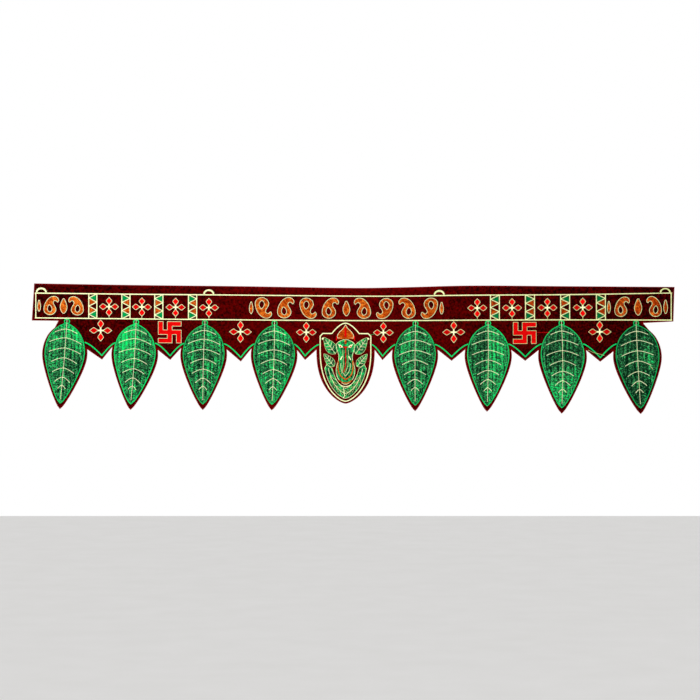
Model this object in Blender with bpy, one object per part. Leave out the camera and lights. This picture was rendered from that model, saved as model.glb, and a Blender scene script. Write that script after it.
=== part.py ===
"""Toran door hanging: one cut panel of velvet, and the raised thread work stitched on its front.

The panel is a flap, a bordered band and a valance of pointed drops, eight leaves and a shield. Each thread
motif is a thin pad in its own colour, which follows the hang of the cloth a thread's gap in front of it.
Metres. +X is the viewer's right, +Z is up and the front faces -Y. The origin is the middle of the top
edge, on the back of the cloth, where it lies against the lintel.

Every outline is drawn on the flat cut pattern, as (x, v), with v up from the top edge. The hang of the
cloth then takes each point to its place: it sags between its ends and bows out towards the leaf tips.
"""

import math
from collections import namedtuple

import bmesh
import bpy
from mathutils import Vector
from mathutils.geometry import delaunay_2d_cdt

# The panel's cut pattern
WIDTH = 0.9652
UPPER_LINE = -0.0130
LOWER_LINE = -0.0500
LEFT_FOOT = -0.0540
RIGHT_FOOT = -0.0520
RIGHT_FOOT_DROP = 0.0025
END_SLANT = 0.0035
LEFT_SHOULDER = 0.0132
RIGHT_SHOULDER = 0.0108
NOTCH_DEPTH = 0.0440
VELVET_THICKNESS = 0.0016
VELVET_STEP = 0.0180
TOP_EDGE_STEPS = 26

# How the cloth stands out from the wall
BAND_RIPPLE = 0.0012
BAND_WAVE = 0.310
CURL = 0.0065
CURL_SWING = 0.0022
CURL_WAVE = 0.420
FLUTTER = 0.0009
FLUTTER_WAVE = 0.233
CURL_POWER = 1.6
LONGEST_DROP = 0.1410

# Thread work
THREAD_GAP = 0.00035
LINE_WIDTH = 0.0026
LINE_EDGE = 0.0006
LINE_CREST = 0.0012
FILL_EDGE = 0.0007
FILL_CREST = 0.0013
LINE_STEP = 0.0150

# The leaf
VELVET_LEAF_ROOT = 0.0045
THREAD_LEAF_ROOT = 0.0060
LEAF_CUT_POWER = 1.07
LEAF_MARGIN = 0.0036
LEAF_TIP_MARGIN = 0.0072
LEAF_RING_DEPTH = 0.0047
LEAF_RING_RADIUS = 0.0029
RIM_CREST_INSET = 0.0014
RIM_FOOT_INSET = 0.0028
RIM_CREST = 0.0016
LEAF_FIELD = 0.0008
VEIN_CREST = 0.0013
MIDRIB_END = 0.94

# The shield: its straight sides end at the spring, and its curve runs on to the tip
SHIELD_X = -0.0115
SHIELD_HALF = 0.0438
SHIELD_SPRING = 0.0440
SHIELD_TIP = 0.1245
SHIELD_POWER = 2.4
SHIELD_ROUNDING = 0.65
BORDER_HALF = 0.0380
BORDER_TIP = 0.1210
BORDER_SHOULDER = 0.0195
BORDER_CORNER = 0.0040
ARCH_HALF = 0.0205
ARCH_TOP = 0.0038
ARCH_POWER = 1.7

# The green edging of a pointed drop
EDGING_SHOULDER = 0.0360
EDGING_MARGIN = 0.0060
EDGING_POWER = 1.4
EDGING_WIDTH = 0.0024

# Flowers, signs, hanging rings and scrolls
PETAL_HALF = 0.0047
FLOWER_HEART = 0.0017
BAND_FLOWER_V = -0.0320
DROP_FLOWER_DEPTH = 0.0179
SIGN_DEPTH = 0.0195
SIGN_UNIT_X = 0.0068
SIGN_UNIT_V = 0.0063
RING_HALF = 0.0086
RING_HEIGHT = 0.0072
RING_HOLE_HALF = 0.0040
RING_HOLE_HEIGHT = 0.0032
SCROLL_V = -0.0315
SCROLL_PITCH = 0.0335
CENTRE_MOTIF_X = -0.0102
BUD_HALF = 0.0052
BUD_REACH = 0.0120

# Heights of the hung cloth at places along it, above the middle of its top edge
HangRow = namedtuple("HangRow", "x top_edge upper_line lower_line")
HANG = (
    HangRow(-0.4826, 0.0069, -0.0077, -0.0449),
    HangRow(-0.330, 0.0044, -0.0095, -0.0465),
    HangRow(-0.170, 0.0026, -0.0108, -0.0480),
    HangRow(0.000, 0.0000, -0.0123, -0.0491),
    HangRow(0.075, 0.0010, -0.0123, -0.0491),
    HangRow(0.175, 0.0035, -0.0110, -0.0484),
    HangRow(0.320, 0.0026, -0.0101, -0.0480),
    HangRow(0.4826, 0.0015, -0.0074, -0.0484),
)

# Leaves of the panel from left to right. Depths are below the lower line, and sway bends the middle line
Leaf = namedtuple("Leaf", "x_top x_tip depth half_width sway")
LEAVES = (
    Leaf(-0.4296, -0.4396, 0.1363, 0.0339, 0.0004),
    Leaf(-0.3257, -0.3337, 0.1364, 0.0350, 0.0009),
    Leaf(-0.2225, -0.2255, 0.1356, 0.0350, -0.0009),
    Leaf(-0.1180, -0.1222, 0.1354, 0.0350, 0.0009),
    Leaf(0.0935, 0.0928, 0.1357, 0.0347, -0.0005),
    Leaf(0.2025, 0.2007, 0.1375, 0.0354, 0.0010),
    Leaf(0.3127, 0.3125, 0.1405, 0.0365, 0.0017),
    Leaf(0.4246, 0.4309, 0.1408, 0.0365, -0.0003),
)

# Half width of a leaf along it, as shares of its length and of its greatest half width
LeafRow = namedtuple("LeafRow", "along half")
LEAF_SHAPE = (
    LeafRow(0.00, 0.000),
    LeafRow(0.05, 0.380),
    LeafRow(0.10, 0.610),
    LeafRow(0.15, 0.770),
    LeafRow(0.20, 0.870),
    LeafRow(0.28, 0.965),
    LeafRow(0.37, 1.000),
    LeafRow(0.45, 0.968),
    LeafRow(0.54, 0.878),
    LeafRow(0.64, 0.747),
    LeafRow(0.74, 0.592),
    LeafRow(0.84, 0.418),
    LeafRow(0.92, 0.252),
    LeafRow(0.97, 0.125),
    LeafRow(1.00, 0.000),
)

# Veins of a leaf: where each leaves the midrib, as a share of its length, its reach and its droop
Vein = namedtuple("Vein", "share reach droop")
VEINS = (
    Vein(0.084, 0.0170, 0.0057),
    Vein(0.191, 0.0240, 0.0075),
    Vein(0.315, 0.0240, 0.0072),
    Vein(0.434, 0.0195, 0.0072),
    Vein(0.558, 0.0165, 0.0070),
    Vein(0.669, 0.0115, 0.0075),
    Vein(0.769, 0.0060, 0.0052),
)
VEIN_POWER = 1.6
VEIN_STEPS = 3

# Pointed drops between the leaves and the shield
Drop = namedtuple("Drop", "x depth")
DROPS = (
    Drop(-0.3770, 0.0615),
    Drop(-0.2747, 0.0610),
    Drop(-0.1687, 0.0625),
    Drop(-0.0723, 0.0595),
    Drop(0.0440, 0.0592),
    Drop(0.1478, 0.0608),
    Drop(0.2583, 0.0614),
    Drop(0.3707, 0.0627),
)

Flower = namedtuple("Flower", "x v across up")
BAND_FLOWER_XS = (-0.3665, -0.3172, -0.2666, -0.2166, 0.1863, 0.2385, 0.2915, 0.3446)
DROP_FLOWERS = (
    Flower(-0.3790, LOWER_LINE - DROP_FLOWER_DEPTH, 0.0166, 0.0160),
    Flower(-0.1692, LOWER_LINE - DROP_FLOWER_DEPTH, 0.0164, 0.0160),
    Flower(-0.0704, LOWER_LINE - DROP_FLOWER_DEPTH, 0.0148, 0.0150),
    Flower(0.0453, LOWER_LINE - DROP_FLOWER_DEPTH, 0.0148, 0.0150),
    Flower(0.1510, LOWER_LINE - DROP_FLOWER_DEPTH, 0.0166, 0.0160),
    Flower(0.3700, LOWER_LINE - DROP_FLOWER_DEPTH, 0.0170, 0.0160),
)
BAND_FLOWER_ACROSS = 0.0144
BAND_FLOWER_UP = 0.0138
SIGN_XS = (-0.2753, 0.2574)
RING_XS = (-0.4682, -0.2168, 0.1292, 0.4686)

# Strips of the band: centre, width between their two lines, and the side where their zigzag starts
Strip = namedtuple("Strip", "x width side")
STRIPS = (
    Strip(-0.3909, 0.0121, 1),
    Strip(-0.3412, 0.0123, -1),
    Strip(-0.2918, 0.0123, 1),
    Strip(-0.2411, 0.0123, -1),
    Strip(0.2128, 0.0133, 1),
    Strip(0.2654, 0.0135, -1),
    Strip(0.3182, 0.0135, 1),
    Strip(0.3719, 0.0135, -1),
)
ZIGZAGS = 6
ZIGZAG_WIDTH = 0.0016
BORDER_LEFT = -0.4765
BORDER_RIGHT = 0.4775

# Half width of a petal along it, as shares of its length and of its greatest half width
PetalRow = namedtuple("PetalRow", "along half")
PETAL = (PetalRow(0.30, 0.55), PetalRow(0.60, 1.00), PetalRow(0.82, 0.62))

# A scroll's spine from its round head to its curled tip, in units of its size
SpineRow = namedtuple("SpineRow", "x v half")
SCROLL = (
    SpineRow(-0.02, -0.46, 0.00),
    SpineRow(-0.03, -0.38, 0.21),
    SpineRow(-0.05, -0.24, 0.30),
    SpineRow(-0.08, -0.08, 0.28),
    SpineRow(-0.09, 0.10, 0.20),
    SpineRow(-0.03, 0.26, 0.14),
    SpineRow(0.10, 0.36, 0.11),
    SpineRow(0.24, 0.36, 0.09),
    SpineRow(0.33, 0.27, 0.06),
    SpineRow(0.33, 0.17, 0.00),
)
Scroll = namedtuple("Scroll", "name x size mirror upside_down")

# The shield's figure, from the shield's middle and below the lower line
FIGURE = (
    SpineRow(0.0, -0.0285, 0.0085),
    SpineRow(0.0, -0.0340, 0.0128),
    SpineRow(0.0, -0.0420, 0.0130),
    SpineRow(0.0, -0.0500, 0.0105),
    SpineRow(0.0, -0.0570, 0.0098),
    SpineRow(0.0, -0.0660, 0.0128),
    SpineRow(0.0, -0.0760, 0.0145),
    SpineRow(0.0, -0.0860, 0.0122),
    SpineRow(0.0, -0.0925, 0.0070),
    SpineRow(0.0, -0.0965, 0.0000),
)
TRUNK = (
    (0.0, -0.0460),
    (0.0005, -0.0580),
    (0.0, -0.0700),
    (-0.0035, -0.0790),
    (-0.0085, -0.0800),
    (-0.0095, -0.0740),
)
CROWN = ((0.0, -0.0062), (0.0035, -0.0120), (0.0085, -0.0165), (0.0120, -0.0215), (0.0118, -0.0262))
EAR_ROOT = (0.0152, -0.0500)
EAR_TIP = (0.0325, -0.0255)
EAR_HALF = 0.0072
ARM_ROOT = (0.0172, -0.0690)
ARM_TIP = (0.0325, -0.0500)
ARM_HALF = 0.0055
SEAT_TOP = 0.0720
SEAT_HORN = (0.0280, -0.0655)
SEAT_OUTER_HALF = 0.0335
SEAT_FOOT = 0.1165
SEAT_INNER_HALF = 0.0230
SEAT_INNER_FOOT = 0.1015
SEAT_STEPS = 8

Finish = namedtuple("Finish", "colour roughness")
FINISHES = {
    "velvet": Finish((0.075, 0.003, 0.005, 1.0), 0.85),
    "leaf_thread": Finish((0.020, 0.180, 0.070, 1.0), 0.50),
    "green_thread": Finish((0.010, 0.420, 0.160, 1.0), 0.45),
    "cream_thread": Finish((0.780, 0.800, 0.480, 1.0), 0.50),
    "red_thread": Finish((0.720, 0.010, 0.010, 1.0), 0.45),
    "orange_thread": Finish((0.680, 0.140, 0.020, 1.0), 0.45),
}


def material(slot):
    """The slot's material, made once."""
    made = bpy.data.materials.get(slot)
    if made:
        return made
    made = bpy.data.materials.new(slot)
    made.use_nodes = True
    shader = made.node_tree.nodes["Principled BSDF"]
    shader.inputs["Base Color"].default_value = FINISHES[slot].colour
    shader.inputs["Roughness"].default_value = FINISHES[slot].roughness
    shader.inputs["Metallic"].default_value = 0.0
    return made


def smooth(share):
    """A share from 0 to 1, eased at both ends."""
    share = min(1.0, max(0.0, share))
    return share * share * (3 - 2 * share)


def through_rows(rows, at, column):
    """One column of a table at a value of its first column, on a smooth curve through the rows."""

    def slope(k):
        before, after = rows[max(0, k - 1)], rows[min(len(rows) - 1, k + 1)]
        return (getattr(after, column) - getattr(before, column)) / (after[0] - before[0])

    i = max(0, min(len(rows) - 2, sum(row[0] <= at for row in rows) - 1))
    low, high = rows[i], rows[i + 1]
    span = high[0] - low[0]
    s = (at - low[0]) / span
    level = getattr(low, column) * (1 + 2 * s) * (1 - s) ** 2 + getattr(high, column) * s * s * (3 - 2 * s)
    return level + span * s * (1 - s) * (slope(i) * (1 - s) - slope(i + 1) * s)


def hang_height(x, column):
    """Height of one line of the hung cloth at x."""
    return through_rows(HANG, x, column)


def height(x, v):
    """Height of the pattern's point (x, v) once the cloth hangs."""
    upper, lower = hang_height(x, "upper_line"), hang_height(x, "lower_line")
    if v >= UPPER_LINE:
        share = v / UPPER_LINE
        return hang_height(x, "top_edge") * (1 - share) + upper * share
    if v >= LOWER_LINE:
        share = (v - UPPER_LINE) / (LOWER_LINE - UPPER_LINE)
        return upper * (1 - share) + lower * share
    return lower + v - LOWER_LINE


def bow(x, v):
    """How far the back of the cloth stands out from the wall: the flap lies flat, the leaf tips least so."""
    ripple = BAND_RIPPLE * (1 + math.sin(2 * math.pi * x / BAND_WAVE + 1.0)) / 2
    curl = CURL + CURL_SWING * math.sin(2 * math.pi * x / CURL_WAVE + 0.6)
    curl += FLUTTER * math.sin(2 * math.pi * x / FLUTTER_WAVE)
    band_share = smooth((UPPER_LINE - v) / (UPPER_LINE - LOWER_LINE))
    drop_share = max(0.0, (LOWER_LINE - v) / LONGEST_DROP)
    return ripple * band_share + curl * drop_share**CURL_POWER


def hung(point, lift):
    """The place of a pattern point that lies lift in front of the cloth's back."""
    x, v = point
    return Vector((x, -bow(x, v) - lift, height(x, v)))


def inside(point, loop):
    """True where the point lies inside the closed loop."""
    x, v = point
    found = False
    for (ax, av), (bx, bv) in zip(loop, loop[1:] + loop[:1]):
        if (av > v) != (bv > v) and x < (bx - ax) * (v - av) / (bv - av) + ax:
            found = not found
    return found


def clearance(point, loop):
    """Distance from the point to the closed loop."""
    p = Vector(point)
    nearest = math.inf
    for a, b in zip(loop, loop[1:] + loop[:1]):
        start, side = Vector(a), Vector(b) - Vector(a)
        share = min(1.0, max(0.0, (p - start).dot(side) / side.length_squared))
        nearest = min(nearest, (p - start - side * share).length)
    return nearest


def lattice(loop, step, margin):
    """Points of a triangular lattice inside the loop, at least the margin from its edge."""
    xs, vs = [p[0] for p in loop], [p[1] for p in loop]
    row_step = step * math.sqrt(3) / 2
    points = []
    for row in range(int((max(vs) - min(vs)) / row_step) + 1):
        v = max(vs) - row * row_step
        shift = step / 2 if row % 2 else 0.0
        for column in range(int((max(xs) - min(xs)) / step) + 1):
            point = (min(xs) + shift + column * step, v)
            if inside(point, loop) and clearance(point, loop) > margin:
                points.append(point)
    return points


def offset_path(path, distance, closed=False):
    """The path moved sideways, to its left where the distance is positive, with mitred corners."""
    moved = []
    count = len(path)
    for i, point in enumerate(path):
        before = path[i - 1] if closed or i else point
        after = path[(i + 1) % count] if closed or i < count - 1 else point
        sides = []
        for a, b in ((before, point), (point, after)):
            run = Vector(b) - Vector(a)
            if run.length > 0:
                sides.append(Vector((-run.y, run.x)).normalized())
        if len(sides) == 1:
            sides *= 2
        mitre = (sides[0] + sides[1]).normalized()
        moved.append(tuple(Vector(point) + mitre * distance / max(0.35, mitre.dot(sides[0]))))
    return moved


def add_surface(bm, base, rims, rim_lift, chains, dots):
    """Adds one face of a pad to the mesh and returns its rim's vertices in the rims' order.

    The first rim is the outline and the others are holes. A chain is (points, lift) and a dot (point, lift).
    """
    points, edges, lifts = [], [], []
    for rim in rims:
        first = len(points)
        edges += [(first + i, first + (i + 1) % len(rim)) for i in range(len(rim))]
        points += rim
        lifts += [rim_lift] * len(rim)
    rim_count = len(points)
    for chain, lift in chains:
        first = len(points)
        edges += [(first + i, first + i + 1) for i in range(len(chain) - 1)]
        points += chain
        lifts += [lift] * len(chain)
    points += [point for point, _ in dots]
    lifts += [lift for _, lift in dots]
    places, _, triangles, sources, _, _ = delaunay_2d_cdt([Vector(p) for p in points], edges, [], 1, 1e-7)
    made = []
    for place, source in zip(places, sources):
        made.append(bm.verts.new(hung(place, base + max(lifts[s] for s in source))))
    for triangle in triangles:
        middle = sum((places[i] for i in triangle), Vector((0, 0))) / 3
        if not any(inside(middle, hole) for hole in rims[1:]):
            bm.faces.new([made[i] for i in triangle])
    vertex_of = {s: vertex for vertex, source in zip(made, sources) for s in source}
    return [vertex_of[i] for i in range(rim_count)]


def solid(name, slot, base, rims, rim_lift, chains=(), dots=(), back_dots=()):
    """One closed solid between a flat back at the base and a raised front, with walls round its rims."""
    bm = bmesh.new()
    front = add_surface(bm, base, rims, rim_lift, chains, dots)
    back = add_surface(bm, base, rims, 0.0, (), [(dot, 0.0) for dot in back_dots])
    first = 0
    for rim in rims:
        for i in range(len(rim)):
            a, b = first + i, first + (i + 1) % len(rim)
            bm.faces.new((front[b], front[a], back[a], back[b]))
        first += len(rim)
    loose = [vertex for vertex in bm.verts if not vertex.link_faces]
    bmesh.ops.delete(bm, geom=loose, context="VERTS")
    bmesh.ops.recalc_face_normals(bm, faces=bm.faces)
    mesh = bpy.data.meshes.new(name)
    bm.to_mesh(mesh)
    bm.free()
    mesh.materials.append(material(slot))
    made = bpy.data.objects.new(name, mesh)
    bpy.context.scene.collection.objects.link(made)
    return made


def thread_solid(name, slot, rims, rim_lift, chains=(), dots=(), back_dots=()):
    """A pad of thread work just in front of the velvet."""
    return solid(name, slot, VELVET_THICKNESS + THREAD_GAP, rims, rim_lift, chains, dots, back_dots)


def stitched_line(name, slot, path, width):
    """A ridge of stitches along an open path."""
    half = width / 2
    rim = offset_path(path, -half) + offset_path(path, half)[::-1]
    return thread_solid(name, slot, [rim], LINE_EDGE, chains=[(path[1:-1], LINE_CREST)])


def leaf_side_point(root, tip, half_width, along, side, sway=0.0, power=1.0):
    """A point on the edge of a leaf. Side is +1 for the side on the right of a leaf that hangs down.

    A power over 1 makes the leaf leaner towards its ends.
    """
    axis = Vector(tip) - Vector(root)
    across = Vector((-axis.y, axis.x)).normalized()
    half_share = max(0.0, through_rows(LEAF_SHAPE, along, "half")) ** power
    reach = side * half_width * half_share + sway * math.sin(math.pi * along)
    return tuple(Vector(root) + axis * along + across * reach)


def leaf_loop(root, tip, half_width, steps, start=0.0, sway=0.0):
    """A leaf's outline from its root, down its left side, round the tip and up its right side."""
    shares = [start + (1 - start) * (1 - math.cos(math.pi * i / steps)) / 2 for i in range(1, steps)]
    left = [leaf_side_point(root, tip, half_width, share, -1, sway) for share in shares]
    right = [leaf_side_point(root, tip, half_width, share, 1, sway) for share in reversed(shares)]
    return left + [tuple(tip)] + right


def velvet_leaf(leaf):
    """Root and tip of the leaf that is cut in the velvet."""
    return (leaf.x_top, LOWER_LINE - VELVET_LEAF_ROOT), (leaf.x_tip, LOWER_LINE - leaf.depth)


def thread_leaf(leaf, inset=0.0):
    """Root, tip and half width of the stitched leaf, drawn in by the inset."""
    top, tip = Vector(velvet_leaf(leaf)[0]), Vector(velvet_leaf(leaf)[1])
    axis = (tip - top).normalized()
    root = top + axis * (THREAD_LEAF_ROOT - VELVET_LEAF_ROOT + inset)
    end = tip - axis * (LEAF_TIP_MARGIN + 2.2 * inset)
    return tuple(root), tuple(end), leaf.half_width - LEAF_MARGIN - inset


def leaf_free_edge(leaf, left_start, right_start):
    """The cut edge of a velvet leaf from its left side, round its tip, to its right side."""
    root, tip = velvet_leaf(leaf)
    steps = 9
    left = [left_start + (1 - left_start) * i / steps for i in range(steps)]
    right = [right_start + (1 - right_start) * i / steps for i in range(steps)]
    shape = (leaf.sway, LEAF_CUT_POWER)
    down = [leaf_side_point(root, tip, leaf.half_width, share, -1, *shape) for share in left]
    up = [leaf_side_point(root, tip, leaf.half_width, share, 1, *shape) for share in reversed(right)]
    return down + [tip] + up


def shield_half_width(depth, half, tip_depth):
    """Half width of a shield shape at a depth below the lower line."""
    share = max(0.0, (depth - SHIELD_SPRING) / (tip_depth - SHIELD_SPRING))
    return half * max(0.0, 1 - share**SHIELD_POWER) ** SHIELD_ROUNDING


def shield_curve(half, tip_depth, start_depth, steps):
    """The shield's curve from its left side, round its tip, to its right side."""
    span = tip_depth - start_depth
    depths = [start_depth + span * math.sin(math.pi / 2 * i / steps) for i in range(steps)]
    left = [(SHIELD_X - shield_half_width(d, half, tip_depth), LOWER_LINE - d) for d in depths]
    right = [(2 * SHIELD_X - x, v) for x, v in reversed(left)]
    return left + [(SHIELD_X, LOWER_LINE - tip_depth)] + right


def panel_outline():
    """The whole cut edge of the velvet panel, from its top left corner down and round to its top right."""
    notch = (NOTCH_DEPTH - VELVET_LEAF_ROOT) / (LEAVES[0].depth - VELVET_LEAF_ROOT)
    shoulder = 0.085
    hangings = []
    for i, leaf in enumerate(LEAVES):
        left_start = shoulder if i == 0 else notch
        right_start = shoulder if i == len(LEAVES) - 1 else notch
        hangings.append(leaf_free_edge(leaf, left_start, right_start))
    hangings.insert(len(LEAVES) // 2, shield_curve(SHIELD_HALF, SHIELD_TIP, NOTCH_DEPTH, 9))
    left, right = -WIDTH / 2, WIDTH / 2
    loop = [(left + END_SLANT, 0.0), (left, LEFT_FOOT), (LEAVES[0].x_top - LEFT_SHOULDER, LEFT_FOOT)]
    for edge, drop in zip(hangings, DROPS):
        loop += edge + [(drop.x, LOWER_LINE - drop.depth)]
    loop += hangings[-1]
    loop.append((LEAVES[-1].x_top + RIGHT_SHOULDER, RIGHT_FOOT - RIGHT_FOOT_DROP))
    loop += [(right - END_SLANT / 2, RIGHT_FOOT), (right, 0.0)]
    step = (WIDTH - END_SLANT) / TOP_EDGE_STEPS
    return loop + [(right - step * i, 0.0) for i in range(1, TOP_EDGE_STEPS)]


def make_velvet_panel():
    """The cloth itself: one cut piece of velvet."""
    outline = panel_outline()
    dots = lattice(outline, VELVET_STEP, VELVET_STEP / 3)
    return solid(
        "velvet_panel",
        "velvet",
        0.0,
        [outline],
        VELVET_THICKNESS,
        dots=[(dot, VELVET_THICKNESS) for dot in dots],
        back_dots=dots,
    )


def band_columns():
    """The x of each upright line of the band's border."""
    columns = [BORDER_LEFT]
    for strip in STRIPS:
        columns += [strip.x - strip.width / 2, strip.x + strip.width / 2]
    return columns + [BORDER_RIGHT]


def spaced(low, high, step):
    """Evenly spaced values from low to high, at most a step apart."""
    count = max(1, math.ceil((high - low) / step))
    return [low + (high - low) * i / count for i in range(count + 1)]


def inset_cell(corners):
    """A cell of the border, drawn in from the middle of each line round it by half of that line's width."""
    area = sum(a[0] * b[1] - b[0] * a[1] for a, b in zip(corners, corners[1:] + corners[:1]))
    if area < 0:
        corners = corners[::-1]
    sides = []
    for a, b in zip(corners, corners[1:] + corners[:1]):
        width = LINE_WIDTH if a[0] == b[0] or a[1] == b[1] else ZIGZAG_WIDTH
        run = (Vector(b) - Vector(a)).normalized()
        sides.append((Vector(a) + Vector((-run.y, run.x)) * (width / 2), run))
    loop = []
    for (p, run), (q, next_run) in zip(sides[-1:] + sides[:-1], sides):
        loop.append(tuple(p + run * ((q - p).cross(next_run) / run.cross(next_run))))
    return loop


def zigzag_path(strip):
    """Middle of a strip's zigzag line, from its top corner down."""
    path = []
    for i in range(ZIGZAGS + 1):
        side = strip.side if i % 2 == 0 else -strip.side
        v = UPPER_LINE + (LOWER_LINE - UPPER_LINE) * i / ZIGZAGS
        path.append((strip.x + side * strip.width / 2, v))
    return path


def strip_cells(strip):
    """The three-cornered cells between a strip's zigzag and the lines round it."""
    path = zigzag_path(strip)
    far = path[1][0]
    cells = [[(far, UPPER_LINE), *path[:2]], [(far, LOWER_LINE), *path[-2:]]]
    cells += [path[i : i + 3] for i in range(len(path) - 2)]
    return [inset_cell(cell) for cell in cells]


def make_band_border():
    """The cream border: two long lines, the uprights between them, and the zigzags of the strips."""
    half = LINE_WIDTH / 2
    columns = band_columns()
    low, high = LOWER_LINE - half, UPPER_LINE + half
    left, right = BORDER_LEFT - half, BORDER_RIGHT + half
    outer = [(x, low) for x in spaced(left, right, LINE_STEP)]
    outer += [(x, high) for x, _ in reversed(outer)]
    rims = [outer]
    crest_xs = []
    for i, (a, b) in enumerate(zip(columns, columns[1:])):
        if i % 2:
            rims += strip_cells(STRIPS[i // 2])
        else:
            bottom = [(x, LOWER_LINE + half) for x in spaced(a + half, b - half, LINE_STEP)]
            rims.append(bottom + [(x, UPPER_LINE - half) for x, _ in reversed(bottom)])
        crest_xs += spaced(a, b, LINE_STEP)[:-1]
    crest_xs.append(BORDER_RIGHT)
    chains = [([(x, line) for x in crest_xs], LINE_CREST) for line in (UPPER_LINE, LOWER_LINE)]
    chains += [([(x, UPPER_LINE), (x, LOWER_LINE)], LINE_CREST) for x in columns]
    chains += [(zigzag_path(strip), LINE_CREST) for strip in STRIPS]
    return thread_solid("band_border", "cream_thread", rims, LINE_EDGE, chains=chains)


def along_vein(start, across, down, reach, droop, share):
    """A point part of the way along a drooping vein."""
    return tuple(start + across * (reach * share) + down * (droop * share**VEIN_POWER))


def leaf_crests(leaf):
    """The midrib and the veins of a stitched leaf, as chains, and the low places between the veins."""
    root, tip, _ = thread_leaf(leaf)
    down = (Vector(tip) - Vector(root)).normalized()
    across = Vector((-down.y, down.x))
    stops = [0.02, *[vein.share for vein in VEINS], MIDRIB_END]
    midrib = [leaf_side_point(root, tip, 0.0, stop, 1, leaf.sway) for stop in stops]
    joints = [Vector(point) for point in midrib[1:-1]]
    chains = [(midrib, VEIN_CREST)]
    dots = []
    for i, (vein, joint) in enumerate(zip(VEINS, joints)):
        for side in (-1, 1):
            shares = [k / VEIN_STEPS for k in range(VEIN_STEPS + 1)]
            arm = [along_vein(joint, across, down, side * vein.reach, vein.droop, share) for share in shares]
            chains.append((arm, VEIN_CREST))
            if i + 1 < len(VEINS):
                between = (joint + joints[i + 1]) / 2
                reach = side * (vein.reach + VEINS[i + 1].reach) / 2
                for share in (0.33, 0.75):
                    place = along_vein(between, across, down, reach, vein.droop, share)
                    dots.append((place, LEAF_FIELD))
    return chains, dots


def make_leaf(number, leaf):
    """A stitched leaf with its little ring at the top, a raised rim, and raised veins."""
    root, tip, half_width = thread_leaf(leaf)
    ring_centre = Vector((leaf.x_top, LOWER_LINE - LEAF_RING_DEPTH))
    ring = []
    for angle in range(-50, 231, 40):
        turn = math.radians(angle)
        ring.append(tuple(ring_centre + Vector((math.cos(turn), math.sin(turn))) * LEAF_RING_RADIUS))
    outline = ring + leaf_loop(root, tip, half_width, 14, start=0.02, sway=leaf.sway)
    chains, dots = leaf_crests(leaf)
    for inset, lift, steps in ((RIM_CREST_INSET, RIM_CREST, 12), (RIM_FOOT_INSET, LEAF_FIELD, 11)):
        ring_root, ring_tip, ring_half = thread_leaf(leaf, inset)
        loop = leaf_loop(ring_root, ring_tip, ring_half, steps, start=0.01, sway=leaf.sway)
        chains.append((loop, lift))
    back = lattice(outline, 0.017, 0.005)
    return thread_solid(f"leaf_{number}", "leaf_thread", [outline], FILL_EDGE, chains, dots, back)


def flower_loop(flower, shares=PETAL, half=PETAL_HALF, heart=FLOWER_HEART):
    """Outline of a flower of four pointed petals."""
    loop = []
    for quarter, reach in enumerate((flower.across, flower.up, flower.across, flower.up)):
        turn = quarter * math.pi / 2
        side = [(row.along * reach, row.half * half) for row in shares]
        petal = [(heart, -heart), *[(a, -b) for a, b in side], (reach, 0.0), *side[::-1]]
        for a, b in petal:
            x = a * math.cos(turn) - b * math.sin(turn)
            v = a * math.sin(turn) + b * math.cos(turn)
            loop.append((flower.x + x, flower.v + v))
    return loop


def make_flower(name, flower):
    """A red flower with a crest along each petal and a raised heart."""
    dots = [((flower.x, flower.v), FILL_CREST)]
    for share in (0.35, 0.62):
        for dx, dv in ((1, 0), (0, 1), (-1, 0), (0, -1)):
            place = (flower.x + dx * flower.across * share, flower.v + dv * flower.up * share)
            dots.append((place, FILL_CREST))
    return thread_solid(name, "red_thread", [flower_loop(flower)], FILL_EDGE, dots=dots)


def make_sign(name, x):
    """The old good-luck sign of four equal arms, upright, each arm bent to the right."""
    arm = ((0.5, 0.5), (0.5, 1.5), (2.5, 1.5), (2.5, 2.5), (-0.5, 2.5))
    spine = ((0.0, 0.0), (0.0, 2.0), (2.0, 2.0))
    v = LOWER_LINE - SIGN_DEPTH
    loop, chains = [], []
    for quarter in range(4):
        cosine, sine = round(math.cos(quarter * math.pi / 2)), round(math.sin(quarter * math.pi / 2))
        turned = [
            [(a * cosine - b * sine, a * sine + b * cosine) for a, b in points] for points in (arm, spine)
        ]
        placed = [[(x + a * SIGN_UNIT_X, v + b * SIGN_UNIT_V) for a, b in points] for points in turned]
        loop += placed[0]
        chains.append((placed[1], FILL_CREST))
    return thread_solid(name, "red_thread", [loop], FILL_EDGE, chains=chains)


def make_hanging_ring(name, x):
    """A stitched half ring that stands on the upper line, on the flap."""
    foot = UPPER_LINE + LINE_WIDTH / 2 + THREAD_GAP
    stretch = -UPPER_LINE / (hang_height(x, "top_edge") - hang_height(x, "upper_line"))
    rows = ((RING_HALF, RING_HEIGHT), (RING_HOLE_HALF, RING_HOLE_HEIGHT))
    turns = [math.pi * i / 8 for i in range(9)]
    arcs = []
    for half, rise in rows:
        arcs.append([(x + half * math.cos(t), foot + rise * stretch * math.sin(t)) for t in turns])
    outer, inner = arcs
    crest = [((a[0] + b[0]) / 2, (a[1] + b[1]) / 2) for a, b in zip(outer, inner)][1:-1]
    return thread_solid(name, "cream_thread", [outer + inner[::-1]], LINE_EDGE, chains=[(crest, RIM_CREST)])


def spine_loop(rows, place):
    """Outline round a spine of rows with a point at each end. Place takes a row's (x, v) to the pattern."""
    path = [(row.x, row.v) for row in rows]
    loop = [path[0]]
    for side in (1, -1):
        edge = []
        for i in range(1, len(rows) - 1):
            run = (Vector(path[i + 1]) - Vector(path[i - 1])).normalized()
            edge.append(tuple(Vector(path[i]) + Vector((run.y, -run.x)) * (side * rows[i].half)))
        loop += edge + [path[-1]] if side == 1 else edge[::-1]
    return [place(point) for point in loop]


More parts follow.
